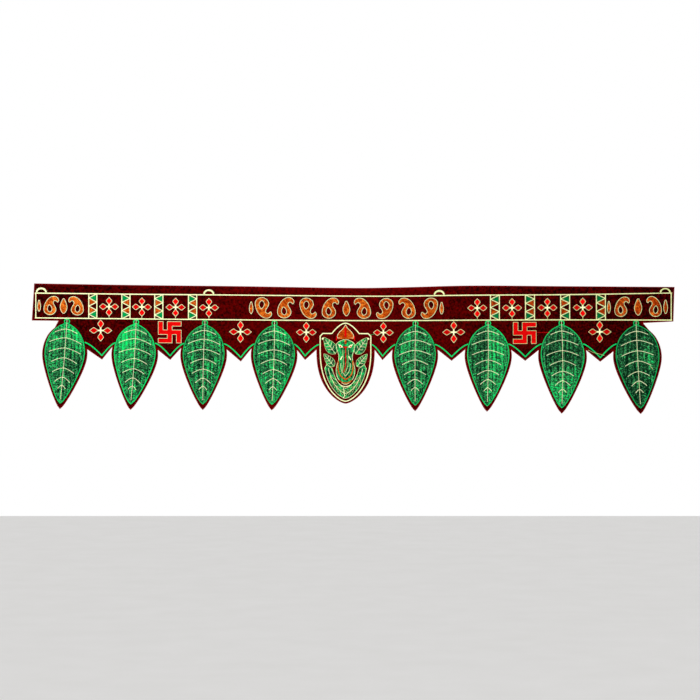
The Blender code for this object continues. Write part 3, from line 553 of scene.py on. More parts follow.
def offset_path(path, distance, closed=False):
    """The path moved sideways, to its left where the distance is positive, with mitred corners."""
    moved = []
    count = len(path)
    for i, point in enumerate(path):
        before = path[i - 1] if closed or i else point
        after = path[(i + 1) % count] if closed or i < count - 1 else point
        sides = []
        for a, b in ((before, point), (point, after)):
            run = Vector(b) - Vector(a)
            if run.length > 0:
                sides.append(Vector((-run.y, run.x)).normalized())
        if len(sides) == 1:
            sides *= 2
        mitre = (sides[0] + sides[1]).normalized()
        moved.append(tuple(Vector(point) + mitre * distance / max(0.45, mitre.dot(sides[0]))))
    return moved


def turned_left(loop):
    """The closed loop, turned so that its inside is on its left."""
    area = sum(a[0] * b[1] - b[0] * a[1] for a, b in zip(loop, loop[1:] + loop[:1]))
    return loop if area > 0 else loop[::-1]


def rounded(loop, passes=2, closed=True):
    """The path with its corners cut, pass by pass, into a smooth curve."""
    points = [Vector(p) for p in loop]
    for _ in range(passes):
        ends = points[1:] + points[:1] if closed else points[1:]
        cut = []
        for a, b in zip(points, ends):
            cut += [a.lerp(b, 0.25), a.lerp(b, 0.75)]
        points = cut if closed else [points[0], *cut, points[-1]]
    return [tuple(p) for p in points]


# Stitches. A row of a stitch table is its two ends, its width, its lift, its arch and its tone


def stitches(start, end, width, lift, arch, tone):
    """A stitch table from arrays of ends, and numbers or arrays for the rest."""
    count = len(start)
    rest = [np.broadcast_to(np.asarray(value, dtype=float), count) for value in (width, lift, arch, tone)]
    return np.column_stack([start, end, *rest])


def walk(path, pitch, closed=False):
    """Evenly spaced places along a path, and the way that it runs at each."""
    points = np.array(path, dtype=float)
    if closed:
        points = np.vstack([points, points[:1]])
    along = np.concatenate([[0.0], np.cumsum(np.hypot(*np.diff(points, axis=0).T))])
    count = max(1, round(along[-1] / pitch))
    at = (np.arange(count) + 0.5) / count * along[-1]

    def place(where):
        where = where % along[-1] if closed else np.clip(where, 0, along[-1])
        return np.column_stack([np.interp(where, along, points[:, i]) for i in (0, 1)])

    run = place(at + 0.0005) - place(at - 0.0005)
    return place(at), run / np.hypot(*run.T)[:, None]


def satin(path, width, lift, tone, pitch, rng, closed=False, arch=SATIN_ARCH):
    """Close stitches across a path."""
    place, run = walk(path, pitch, closed)
    count = len(place)
    half = (width / 2 * (1 + rng.uniform(-WIDTH_PLAY, WIDTH_PLAY, count)))[:, None]
    across = np.column_stack([-run[:, 1], run[:, 0]]) * half
    lean = run * (pitch * 0.4)
    tones = tone + rng.uniform(-SATIN_PLAY, SATIN_PLAY, count)
    return stitches(place - across - lean, place + across + lean, pitch * 1.5, lift, arch, tones)


def running(path, stitch, width, lift, tone, rng):
    """Stitches end to end along a path."""
    place, run = walk(path, stitch)
    half = stitch * 0.56
    tones = tone + rng.uniform(-RUNNING_PLAY, RUNNING_PLAY, len(place))
    return stitches(place - run * half, place + run * half, width, lift, RUNNING_ARCH, tones)


def filling(loops, angle, pitch, stitch, lift, tone, rng, banded=False):
    """Staggered stitches in columns at an angle from upright, inside closed loops.

    A banded filling isn't staggered: its stitches end on upright lines a stitch apart.
    """
    cosine, sine = math.cos(angle), math.sin(angle)
    turn = np.array([[cosine, sine], [-sine, cosine]])
    edges = []
    for loop in loops:
        points = np.array(loop, dtype=float) @ turn.T
        edges.append(np.hstack([points, np.roll(points, -1, axis=0)]))
    edges = np.vstack(edges)
    low, high = min(edges[:, 0].min(), edges[:, 2].min()), max(edges[:, 0].max(), edges[:, 2].max())
    starts, ends = [], []
    if banded:
        stitch = stitch / abs(sine)
    for k in range(int((high - low) / pitch) + 1):
        column = low + (k + 0.5) * pitch
        crossing = edges[(edges[:, 0] > column) != (edges[:, 2] > column)]
        share = (column - crossing[:, 0]) / (crossing[:, 2] - crossing[:, 0])
        stops = np.sort(crossing[:, 1] + share * (crossing[:, 3] - crossing[:, 1]))
        for foot, top in zip(stops[::2], stops[1::2]):
            first = column / math.tan(angle) % stitch if banded else k * 0.382 % 1 * stitch
            first += rng.uniform(-STITCH_PLAY, STITCH_PLAY) * stitch
            cuts = np.arange(math.floor(foot / stitch) * stitch + first - stitch, top, stitch)
            cuts = cuts[(cuts > foot + stitch * 0.3) & (cuts < top - stitch * 0.3)]
            cuts = np.concatenate([[foot], cuts, [top]])
            starts += [(column, cut) for cut in cuts[:-1]]
            ends += [(column, cut) for cut in cuts[1:]]
    starts, ends = np.array(starts) @ turn, np.array(ends) @ turn
    middle = (starts + ends) / 2
    tones = tone(middle[:, 0], middle[:, 1]) if callable(tone) else np.full(len(middle), float(tone))
    tones = tones + rng.uniform(-FILL_PLAY, FILL_PLAY, len(middle))
    over = (ends - starts) * 0.04
    return stitches(starts - over, ends + over, pitch * 1.45, lift, FILL_ARCH, tones)


def model_stitch():
    """One stitch, modelled once: its length is along X, its width along Y, and its crest is up Z."""
    clear_selection()
    bpy.ops.mesh.primitive_cylinder_add(
        vertices=3,
        radius=0.5,
        depth=1.0,
        end_fill_type="TRIFAN",
        location=(0.5, 0.0, 0.25),
        rotation=(math.pi / 2, 0.0, math.pi / 2),
    )
    made = bpy.context.object
    bpy.ops.object.transform_apply(location=True, rotation=True, scale=True)
    edit(made, lambda co: abs(co.y) > 0.01 or co.z > 0.5)
    bpy.ops.transform.resize(value=(0.70, 0.80, 0.80), center_override=(0.5, 0.0, 0.0))
    bpy.ops.mesh.select_all(action="SELECT")
    bpy.ops.mesh.bisect(plane_co=(0.5, 0.0, 0.0), plane_no=(1.0, 0.0, 0.0))
    bpy.ops.object.mode_set(mode="OBJECT")
    edit(made, lambda co: abs(co.x - 0.5) < 0.01)
    bpy.ops.transform.resize(value=(1.0, 1.25, 1.25), center_override=(0.5, 0.0, 0.0))
    bpy.ops.object.mode_set(mode="OBJECT")
    edit(made, lambda co: co.x < 0.01 or co.x > 0.99)
    bpy.ops.transform.translate(value=(0.0, 0.0, -0.25))
    bpy.ops.mesh.select_all(action="SELECT")
    bpy.ops.mesh.normals_make_consistent(inside=False)
    bpy.ops.object.mode_set(mode="OBJECT")
    points = np.array([vertex.co for vertex in made.data.vertices])
    points[:, 1] /= np.ptp(points[:, 1])
    points[:, 2] = (points[:, 2] - points[:, 2].min()) / np.ptp(points[:, 2])
    faces = [tuple(face.vertices) for face in made.data.polygons]
    discard(made)
    return points, faces


def clear_selection():
    """Object mode with nothing selected."""
    if bpy.context.object and bpy.context.object.mode != "OBJECT":
        bpy.ops.object.mode_set(mode="OBJECT")
    bpy.ops.object.select_all(action="DESELECT")


def edit(obj, chosen):
    """Edit mode on one object, with the vertices selected whose place passes the test."""
    clear_selection()
    bpy.context.view_layer.objects.active = obj
    obj.select_set(True)
    bpy.ops.object.mode_set(mode="EDIT")
    bpy.ops.mesh.select_mode(type="VERT")
    bpy.ops.mesh.select_all(action="DESELECT")
    work = bmesh.from_edit_mesh(obj.data)
    for vertex in work.verts:
        vertex.select = bool(chosen(vertex.co))
    work.select_flush(True)
    bmesh.update_edit_mesh(obj.data)


def discard(obj):
    """Takes a model out of the scene once it has been copied."""
    mesh = obj.data
    bpy.data.objects.remove(obj)
    bpy.data.meshes.remove(mesh)


def copy_stitch(name, table, model):
    """One mesh of many copies of the model stitch, on the pattern."""
    points, faces = model
    count, size = len(table), len(points)
    start, end = table[:, 0:2], table[:, 2:4]
    width, lift, arch, tone = table[:, 4:].T
    run = end - start
    span = np.hypot(*run.T)
    side = np.column_stack([-run[:, 1], run[:, 0]]) / span[:, None]
    along, across, up = points.T
    flat = start[:, None, :] + run[:, None, :] * along[None, :, None]
    flat = flat + side[:, None, :] * (across[None, :, None] * width[:, None, None])
    rise = lift[:, None] + up[None, :] * bpy.context.scene.toran_sewing.thread_height
    rise = rise + arch[:, None] * (4 * along * (1 - along))[None, :]
    places = np.dstack([flat[:, :, 0], -rise, flat[:, :, 1]]).reshape(-1, 3)
    corners = np.concatenate([np.array(face) for face in faces])
    totals = np.array([len(face) for face in faces])
    firsts = np.concatenate([[0], np.cumsum(totals)[:-1]])
    mesh = bpy.data.meshes.new(name)
    mesh.vertices.add(count * size)
    mesh.loops.add(count * len(corners))
    mesh.polygons.add(count * len(faces))
    mesh.vertices.foreach_set("co", places.ravel())
    steps = np.arange(count)[:, None]
    mesh.loops.foreach_set("vertex_index", (corners + steps * size).ravel())
    mesh.polygons.foreach_set("loop_start", (firsts + steps * len(corners)).ravel())
    mesh.polygons.foreach_set("use_smooth", np.ones(count * len(faces), dtype=bool))
    mesh.update(calc_edges=True)
    mesh.attributes.new("tone", "FLOAT", "POINT").data.foreach_set("value", np.repeat(tone, size))
    strand = np.dstack([along[None, :] * span[:, None], across[None, :] * width[:, None]])
    strand = np.dstack([strand, np.broadcast_to(up, (count, size))]).reshape(-1, 3)
    mesh.attributes.new("strand", "FLOAT_VECTOR", "POINT").data.foreach_set("vector", strand.ravel())
    made = bpy.data.objects.new(name, mesh)
    bpy.context.scene.collection.objects.link(made)
    return made


def cut_ground(loop):
    """The flat ground of close stitches under a motif's filling, cut to its outline. It has no tone, so it takes
    its thread's darkest colour: painted shade between the stitches.
    """
    clear_selection()
    bpy.ops.mesh.primitive_circle_add(
        vertices=len(loop), radius=0.01, fill_type="NGON", location=(0.0, 0.0, 0.0)
    )
    ground = bpy.context.object
    for vertex, (x, v) in zip(ground.data.vertices, loop):
        vertex.co = (x, -GROUND_FOOT, v)
    edit(ground, lambda co: True)
    low, high = min(p[1] for p in loop), max(p[1] for p in loop)
    for i in range(1, int((high - low) / GROUND_STEP) + 1):
        bpy.ops.mesh.select_all(action="SELECT")
        bpy.ops.mesh.bisect(plane_co=(0.0, 0.0, low + i * GROUND_STEP), plane_no=(0.0, 0.0, 1.0))
    bpy.ops.mesh.select_all(action="SELECT")
    bpy.ops.mesh.quads_convert_to_tris(quad_method="BEAUTY", ngon_method="BEAUTY")
    lift = GROUND_TOP - GROUND_FOOT
    bpy.ops.mesh.extrude_region_move(TRANSFORM_OT_translate={"value": (0.0, -lift, 0.0)})
    bpy.ops.mesh.select_all(action="SELECT")
    bpy.ops.mesh.normals_make_consistent(inside=False)
    bpy.ops.object.mode_set(mode="OBJECT")
    return ground


def join(name, parts):
    """The parts as one object."""
    clear_selection()
    for part in parts:
        part.select_set(True)
    bpy.context.view_layer.objects.active = parts[0]
    if len(parts) > 1:
        bpy.ops.object.join()
    made = bpy.context.view_layer.objects.active
    made.name = name
    made.data.name = name
    return made


def sew(name, tables, thread, nodes=(), grounds=()):
    """Sews one piece in one thread: its stitches, and the grounds under them, hung with the cloth."""
    parts = [copy_stitch(name, np.vstack(tables), STITCH["model"])]
    # The grounds carry no tone, so they show in the thread's darkest colour: painted shade between the stitches.
    parts += [cut_ground(loop) for loop in grounds]
    piece = join(name, parts)
    hang(piece.data)
    piece.data.materials.clear()
    piece.data.materials.append(thread_material(thread))
    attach(piece, BODY)
    if nodes:
        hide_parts(*nodes)
    return piece


def seeded(group):
    """The random numbers of one group of pieces."""
    return np.random.default_rng(SEEDS[group])


STITCH = {}
SEEDS = {
    "border": 11,
    "triangles": 12,
    "rings": 13,
    "flowers": 14,
    "scrolls": 15,
    "leaves": 16,
    "signs": 17,
    "edgings": 18,
    "shield": 19,
    "figure": 20,
    "back": 21,
    "loose": 22,
}

# Ends of thread that were left loose, by their path on the pattern
Loose = namedtuple("Loose", "thread width lift tone points")
LOOSE_THREADS = (
    Loose(
        "red_thread",
        0.0009,
        0.0027,
        0.62,
        ((0.2735, -0.0684), (0.2800, -0.0690), (0.2870, -0.0683), (0.2945, -0.0694)),
    ),
    Loose("green_thread", 0.0008, 0.0019, 0.45, ((0.0235, -0.0728), (0.0270, -0.0712), (0.0318, -0.0700))),
    Loose(
        "cream_thread",
        0.0008,
        0.0027,
        0.45,
        ((0.3526, -0.0952), (0.3600, -0.0990), (0.3690, -0.1010), (0.3768, -0.1035)),
    ),
    Loose("cream_thread", 0.0008, 0.0031, 0.60, ((0.4455, -0.1195), (0.4480, -0.1218), (0.4492, -0.1240))),
)

# Flecks where a filling's thread catches the light: how wide and tall they are, and how strong
FLECKS = {
    "leaf_thread": ((0.0014, 0.0009, 1.10), (0.0019, 0.0300, 0.44)),
    "orange_thread": ((0.0016, 0.0016, 0.55),),
}

FLOOR_SIZE = 400.0
FLOOR_FORWARD = 180.0

# How far the pile is brushed up along the panel, from its left end to its right end
NAP = ((0.0, 0.28), (0.25, 0.50), (0.5, 1.0), (0.72, 0.42), (1.0, 0.0))


# Materials


class Finish:
    """A node material in the making. Each socket is linked to another node or set to a plain value."""

    def __init__(self, name):
        self.material = bpy.data.materials.new("finish_" + name)
        self.material.use_nodes = True
        self.tree = self.material.node_tree
        self.surface = self.tree.nodes["Principled BSDF"]
        self.place = self.new("ShaderNodeTexCoord").outputs["Object"]

    def feed(self, socket, value):
        """Links an output into a socket, or sets a plain value on it."""
        if isinstance(value, bpy.types.NodeSocket):
            self.tree.links.new(value, socket)
        else:
            socket.default_value = value

    def new(self, kind, **settings):
        """A new node. A setting that starts with in_ is one of its sockets."""
        made = self.tree.nodes.new(kind)
        for key, value in settings.items():
            if key.startswith("in_"):
                self.feed(made.inputs[key[3:].replace("_", " ")], value)
            else:
                setattr(made, key, value)
        return made

    def noise(self, scale, detail, roughness=0.5):
        """Noise by the place on the object."""
        made = self.new("ShaderNodeTexNoise", in_Vector=self.place, in_Scale=scale, in_Detail=detail)
        made.inputs["Roughness"].default_value = roughness
        return made.outputs["Fac"]

    def attribute(self, name, output):
        """An attribute of the mesh."""
        return self.new("ShaderNodeAttribute", attribute_name=name).outputs[output]

    def maths(self, operation, *values):
        """The result of a maths node."""
        made = self.new("ShaderNodeMath", operation=operation)
        for socket, value in zip(made.inputs, values):
            self.feed(socket, value)
        return made.outputs[0]

    def mix(self, share, first, second):
        """A colour between two colours."""
        made = self.new("ShaderNodeMix", data_type="RGBA")
        for index, value in ((0, share), (6, first), (7, second)):
            self.feed(made.inputs[index], value)
        return made.outputs[2]

    def ramp(self, share, stops, curve="LINEAR"):
        """The colour at a share of a ramp of stops."""
        made = self.new("ShaderNodeValToRGB", in_Fac=share)
        made.color_ramp.interpolation = curve
        while len(made.color_ramp.elements) < len(stops):
            made.color_ramp.elements.new(0.5)
        for element, (at, value) in zip(made.color_ramp.elements, stops):
            element.position = at
            element.color = value
        return made.outputs["Color"]

    def span(self, value, low, high, start=0.0, end=1.0):
        """A value between start and end, taken to between low and high."""
        made = self.new("ShaderNodeMapRange", in_Value=value, in_From_Min=start, in_From_Max=end)
        made.inputs["To Min"].default_value = low
        made.inputs["To Max"].default_value = high
        return made.outputs["Result"]

    def bump(self, height, strength, distance):
        """A fine relief of the surface."""
        made = self.new("ShaderNodeBump", in_Height=height, in_Strength=strength, in_Distance=distance)
        self.feed(self.surface.inputs["Normal"], made.outputs["Normal"])

    def wear(self, **sockets):
        """Feeds sockets of the surface, and gives the material."""
        for name, value in sockets.items():
            self.feed(self.surface.inputs[name.replace("_", " ")], value)
        return self.material


def thread_ramps():
    """The stops of each thread's colour, from its darkest tone to its lightest: the thread in painted shade at
    the dark end and in painted light at the light end.
    """
    c = bpy.context.scene.toran_colours
    return {
        "leaf_thread": (
            (0.0, c.leaf_shadow),
            (0.30, c.leaf_dark),
            (0.64, c.leaf_light),
            (1.0, c.leaf_bright),
        ),
        "green_thread": ((0.0, c.green_dark), (1.0, c.green_light)),
        "cream_thread": ((0.0, c.cream_dark), (0.45, c.cream), (1.0, c.cream_light)),
        "red_thread": ((0.0, c.red_dark), (1.0, c.red_light)),
        "orange_thread": ((0.0, c.orange_dark), (0.5, c.orange), (1.0, c.orange_light)),
    }


def thread_material(thread):
    """Lustrous thread: its tone comes stitch by stitch, and its plies twist along each stitch. Its colour has
    painted light on each stitch's crest and painted shade where it dives to its ends, and painted glints fleck
    the fillings.
    """
    known = bpy.data.materials.get("finish_" + thread)
    if known:
        return known
    finish = Finish(thread)
    lint = finish.noise(700.0, 3.0)
    spread = finish.maths("MULTIPLY_ADD", lint, 0.30, finish.attribute("tone", "Fac"))
    # Painted glints where a filling's thread catches the light.
    for wide, tall, strength in FLECKS.get(thread, ()):
        cells = finish.new("ShaderNodeMapping", in_Vector=finish.place, in_Scale=(1 / wide, 1 / wide, 1 / tall))
        fleck = finish.new("ShaderNodeTexVoronoi", in_Vector=cells.outputs["Vector"], in_Scale=1.0)
        chance = finish.new("ShaderNodeSeparateColor", in_Color=fleck.outputs["Color"])
        flecked = finish.maths("MULTIPLY_ADD", chance.outputs[0], strength, spread)
        spread = finish.maths("SUBTRACT", flecked, strength / 2)
    parts = finish.new("ShaderNodeSeparateXYZ", in_Vector=finish.attribute("strand", "Vector"))
    # Painted highlight on the crest of each stitch, and painted shade at its ends, where the thread dives into
    # the cloth.
    crest = finish.maths("MULTIPLY_ADD", parts.outputs["Z"], 0.34, spread)
    turns = finish.maths("MULTIPLY", parts.outputs["X"], 2 * math.pi / PLY_TURN)
    twist = finish.maths("MULTIPLY_ADD", parts.outputs["Y"], 2 * math.pi / PLY_WIDTH, turns)
    relief = finish.maths("MULTIPLY_ADD", finish.maths("SINE", twist), 0.35, finish.noise(2600.0, 2.0))
    finish.bump(relief, 0.35, 0.00012)
    stops = thread_ramps()[thread]
    return finish.wear(
        Base_Color=finish.ramp(finish.maths("SUBTRACT", crest, 0.33), stops),
        Roughness=finish.span(lint, 0.36, 0.58),
        Specular_IOR_Level=0.22,
        Specular_Tint=stops[-1][1],
    )


def bobbin_material():
    """Dull red bobbin thread."""
    finish = Finish("bobbin")
    lint = finish.noise(600.0, 3.0)
    finish.bump(lint, 0.4, 0.0002)
    return finish.wear(Base_Color=finish.mix(lint, shade(96, 24, 28), shade(150, 52, 52)), Roughness=0.7)


def velvet_material():
    """Deep red pile: brushed lighter in drifts, brighter along the cut edges."""
    colours = bpy.context.scene.toran_colours
    finish = Finish("velvet")
    streaks = finish.new("ShaderNodeMapping", in_Vector=finish.place, in_Scale=(9.0, 9.0, 60.0))
    drift = finish.new("ShaderNodeTexNoise", in_Scale=1.6, in_Detail=5.0, in_Roughness=0.62)
    finish.feed(drift.inputs["Vector"], streaks.outputs["Vector"])
    pile = finish.noise(1500.0, 2.0, 0.7)
    mottle = finish.maths("MULTIPLY_ADD", finish.noise(330.0, 3.0, 0.6), 4.0, drift.outputs["Fac"])
    both = finish.maths("MULTIPLY_ADD", pile, 0.35, mottle)
    parts = finish.new("ShaderNodeSeparateXYZ", in_Vector=finish.place)
    along = finish.span(parts.outputs["X"], 0.0, 1.0, -WIDTH / 2, WIDTH / 2)
    nap = finish.ramp(along, [(at, (level, level, level, 1.0)) for at, level in NAP], "B_SPLINE")
    brushed = finish.span(finish.maths("ADD", both, nap), 0.0, 1.0, 2.59, 4.09)
    ground = finish.mix(brushed, colours.velvet, colours.velvet_light)
    finish.bump(pile, 0.55, 0.0003)
    return finish.wear(
        Base_Color=finish.mix(finish.attribute("edge", "Fac"), ground, colours.velvet_edge),
        Roughness=finish.span(pile, 0.82, 0.98),
        Specular_IOR_Level=0.06,
        Specular_Tint=(1.0, 0.05, 0.06, 1.0),
        Sheen_Weight=0.06,
        Sheen_Roughness=0.4,
        Sheen_Tint=(0.35, 0.005, 0.008, 1.0),
    )


def edge_material():
    """The cut edge of the velvet, where the pile and its ground show side on."""
    colours = bpy.context.scene.toran_colours
    finish = Finish("velvet_edge")
    tufts = finish.noise(1100.0, 3.0)
    finish.bump(tufts, 0.7, 0.0003)
    base = finish.mix(tufts, colours.velvet_light, colours.velvet_edge)
    return finish.wear(Base_Color=base, Roughness=0.9, Specular_IOR_Level=0.1)


def back_material():
    """The woven back of the velvet."""
    colours = bpy.context.scene.toran_colours
    finish = Finish("velvet_back")
    waves = []
    for way in "XZ":
        wave = finish.new("ShaderNodeTexWave", bands_direction=way, in_Scale=520.0, in_Distortion=0.6)
        finish.feed(wave.inputs["Vector"], finish.place)
        waves.append(wave.outputs["Fac"])
    weave = finish.maths("MULTIPLY", *waves)
    slub = finish.noise(90.0, 4.0)
    uneven = finish.maths("MULTIPLY_ADD", slub, 0.8, weave)
    finish.bump(weave, 0.5, 0.0002)
    base = finish.mix(uneven, colours.velvet_light, colours.velvet_back)
    return finish.wear(Base_Color=base, Roughness=finish.span(slub, 0.7, 0.95), Specular_IOR_Level=0.2)


def floor_material():
    """A plain pale floor."""
    finish = Finish("floor")
    cloud = finish.noise(3.0, 4.0)
    base = finish.mix(cloud, shade(232, 231, 229), shade(240, 239, 238))
    return finish.wear(Base_Color=base, Roughness=0.8)


# Outlines of the pattern


def leaf_side(root, tip, half_width, along, side, sway=0.0, power=1.0):
    """Points on the edge of a leaf. Side is +1 for the side on the right of a leaf that hangs down."""
    root, tip, along = np.array(root), np.array(tip), np.atleast_1d(np.asarray(along, dtype=float))
    axis = tip - root
    across = np.array([-axis[1], axis[0]]) / np.hypot(*axis)
    share = np.maximum(0.0, through_rows(LEAF_SHAPE, along, "half")) ** power
    reach = side * half_width * share + sway * np.sin(math.pi * along)
    return [tuple(point) for point in root + axis * along[:, None] + across * reach[:, None]]


def leaf_loop(root, tip, half_width, steps, sway=0.0):
    """A leaf's outline from its root, down its left side, round the tip and up its right side."""
    shares = (1 - np.cos(math.pi * np.arange(1, steps) / steps)) / 2
    left = leaf_side(root, tip, half_width, shares, -1, sway)
    right = leaf_side(root, tip, half_width, shares[::-1], 1, sway)
    return left + [tuple(tip)] + right


def velvet_leaf(leaf):
    """Root and tip of the leaf that is cut in the velvet."""
    return (leaf.x_top, LOWER_LINE - VELVET_LEAF_ROOT), (leaf.x_tip, LOWER_LINE - leaf.depth)


def thread_leaf(leaf, inset=0.0):
    """Root, tip and half width of the stitched leaf, drawn in by the inset."""
    top, tip = Vector(velvet_leaf(leaf)[0]), Vector(velvet_leaf(leaf)[1])
    axis = (tip - top).normalized()
    root = top + axis * (THREAD_LEAF_ROOT - VELVET_LEAF_ROOT + inset)
    end = tip - axis * (LEAF_TIP_MARGIN + 2.2 * inset)
    return tuple(root), tuple(end), leaf.half_width - LEAF_MARGIN - inset


def leaf_free_edge(leaf, left_start, right_start, steps=30):
    """The cut edge of a velvet leaf from its left side, round its tip, to its right side."""
    root, tip = velvet_leaf(leaf)
    left = left_start + (1 - left_start) * np.arange(steps) / steps
    right = right_start + (1 - right_start) * np.arange(steps)[::-1] / steps
    shape = (leaf.sway, LEAF_CUT_POWER)
    down = leaf_side(root, tip, leaf.half_width, left, -1, *shape)
    return down + [tip] + leaf_side(root, tip, leaf.half_width, right, 1, *shape)


def shield_half_width(depth, half, tip_depth):
    """Half width of a shield shape at a depth below the lower line."""
    share = max(0.0, (depth - SHIELD_SPRING) / (tip_depth - SHIELD_SPRING))
    return half * max(0.0, 1 - share**SHIELD_POWER) ** SHIELD_ROUNDING


def shield_curve(half, tip_depth, start_depth, steps):
    """The shield's curve from its left side, round its tip, to its right side."""
    span = tip_depth - start_depth
    depths = [start_depth + span * math.sin(math.pi / 2 * i / steps) for i in range(steps)]
    left = [(SHIELD_X - shield_half_width(d, half, tip_depth), LOWER_LINE - d) for d in depths]
    right = [(2 * SHIELD_X - x, v) for x, v in reversed(left)]
    return left + [(SHIELD_X, LOWER_LINE - tip_depth)] + right


def subdivided(path, step):
    """The path with points added, so that none of its runs is longer than the step."""
    points = []
    for a, b in zip(path, path[1:]):
        count = max(1, math.ceil(math.dist(a, b) / step))
        points += [tuple(Vector(a).lerp(Vector(b), i / count)) for i in range(count)]
    return points + [path[-1]]


def panel_outline():
    """The whole cut edge of the velvet panel, from its top left corner down and round to its top right."""
    notch = (NOTCH_DEPTH - VELVET_LEAF_ROOT) / (LEAVES[0].depth - VELVET_LEAF_ROOT)
    hangings = []
    for i, leaf in enumerate(LEAVES):
        left_start = CLOTH_SHOULDER if i == 0 else notch
        right_start = CLOTH_SHOULDER if i == len(LEAVES) - 1 else notch
        hangings.append(leaf_free_edge(leaf, left_start, right_start))
    hangings.insert(len(LEAVES) // 2, shield_curve(SHIELD_HALF, SHIELD_TIP, NOTCH_DEPTH, 30))
    left, right = -WIDTH / 2, WIDTH / 2
    loop = [(left + END_SLANT, 0.0), (left, LEFT_FOOT), (LEAVES[0].x_top - LEFT_SHOULDER, LEFT_FOOT)]
    for edge, drop in zip(hangings, DROPS):
        loop += edge + [(drop.x, LOWER_LINE - drop.depth)]
    loop += hangings[-1]
    loop.append((LEAVES[-1].x_top + RIGHT_SHOULDER, RIGHT_FOOT - RIGHT_FOOT_DROP))
    loop += [(right - END_SLANT / 2, RIGHT_FOOT), (right, 0.0), (left + END_SLANT, 0.0)]
    return subdivided(loop, VELVET_STEP)[:-1]


def inside(points, loop):
    """Which of the points, (n, 2), lie inside the closed loop."""
    x, v = points.T
    found = np.zeros(len(points), dtype=bool)
    for (ax, av), (bx, bv) in zip(loop, loop[1:] + loop[:1]):
        if av != bv:
            found ^= ((av > v) != (bv > v)) & (x < (bx - ax) * (v - av) / (bv - av) + ax)
    return found


def clearance(points, loop):
    """Distance from each of the points, (n, 2), to the closed loop."""
    nearest = np.full(len(points), np.inf)
    for a, b in zip(loop, loop[1:] + loop[:1]):
        start, side = np.array(a), np.array(b) - np.array(a)
        share = np.clip((points - start) @ side / (side @ side), 0, 1)
        nearest = np.minimum(nearest, np.hypot(*(points - start - share[:, None] * side).T))
    return nearest


def band_columns():
    """The x of each upright line of the band's border."""
    columns = [BORDER_LEFT]
    for strip in STRIPS:
        columns += [strip.x - strip.width / 2, strip.x + strip.width / 2]
    return columns + [BORDER_RIGHT]


def inset_cell(corners):
    """A cell of the border, drawn in from the middle of each line round it by half of that line's width."""
    corners = turned_left(corners)
    sides = []
    for a, b in zip(corners, corners[1:] + corners[:1]):
        width = LINE_WIDTH if a[0] == b[0] or a[1] == b[1] else ZIGZAG_WIDTH
        run = (Vector(b) - Vector(a)).normalized()
        sides.append((Vector(a) + Vector((-run.y, run.x)) * (width / 2), run))
    loop = []
    for (p, run), (q, next_run) in zip(sides[-1:] + sides[:-1], sides):
        loop.append(tuple(p + run * ((q - p).cross(next_run) / run.cross(next_run))))
    return loop


def zigzag_path(strip):
    """Middle of a strip's zigzag line, from its top corner down."""
    path = []
    for i in range(ZIGZAGS + 1):
        side = strip.side if i % 2 == 0 else -strip.side
        v = UPPER_LINE + (LOWER_LINE - UPPER_LINE) * i / ZIGZAGS
        path.append((strip.x + side * strip.width / 2, v))
    return path


def flower_petals(flower, grow=0.0):
    """The four petals of a flower as closed loops, and with a grow as loops that much larger."""
    petals = []
    for quarter, reach in enumerate((flower.across, flower.up, flower.across, flower.up)):
        turn = quarter * math.pi / 2
        side = [(row.along * reach, row.half * PETAL_HALF * 0.84) for row in PETAL_THREAD]
        root = (0.24 * reach, 0.0)
        petal = [root, *[(a, -b) for a, b in side], (0.97 * reach, 0.0), *side[::-1]]
        if grow:
            petal = offset_path(turned_left(petal), -grow, closed=True)
        loop = []
        for a, b in petal:
            x = a * math.cos(turn) - b * math.sin(turn)
            v = a * math.sin(turn) + b * math.cos(turn)
            loop.append((flower.x + x, flower.v + v))
        petals.append(loop)
    return petals


def spine_loop(rows, place):
    """Outline round a spine of rows with a point at each end. Place takes a row's (x, v) to the pattern."""
    path = [(row.x, row.v) for row in rows]
    loop = [path[0]]
    for side in (1, -1):
        edge = []
        for i in range(1, len(rows) - 1):
            run = (Vector(path[i + 1]) - Vector(path[i - 1])).normalized()
            edge.append(tuple(Vector(path[i]) + Vector((run.y, -run.x)) * (side * rows[i].half)))
        loop += edge + [path[-1]] if side == 1 else edge[::-1]
    return [place(point) for point in loop]


def scroll_loop(scroll, rows):
    """Outline of a scroll, a curled seed shape, or of the bare drop in its head."""
    turn = -1 if scroll.upside_down else 1

    def place(point):
        across = point[0] * scroll.size * (-1 if scroll.mirror else 1)
        return (scroll.x + across, SCROLL_V + point[1] * scroll.size * turn)

    return turned_left(spine_loop(rows, place))


def scrolls():
    """The scrolls of the band: four each side of its middle, and a facing pair in each end panel."""
    made = []
    for i in range(MIDDLE_SCROLLS):
        cell = i - (MIDDLE_SCROLLS - 1) / 2
        x = CENTRE_MOTIF_X + cell * SCROLL_PITCH + math.copysign(SCROLL_GAP, cell)
        made.append(Scroll(f"scroll_{i + 1}", x, SCROLL_SIZE, cell > 0, i % 2 == (cell > 0)))
    for i, (x, mirror) in enumerate(END_SCROLLS):
        made.append(Scroll(f"end_scroll_{i + 1}", x, END_SCROLL_SIZE, mirror, False))
    return made


def bud_loop(bud):
    """Outline of a small pointed bud of the band."""
    sides = [(0.62, 0.42), (1.0, -0.10), (0.72, -0.62)]
    shape = [(0.0, 1.0), *[(-a, b) for a, b in sides], (0.0, -1.0), *sides[::-1]]
    return turned_left([(bud.x + a * bud.half, SCROLL_V + b * bud.reach) for a, b in shape])


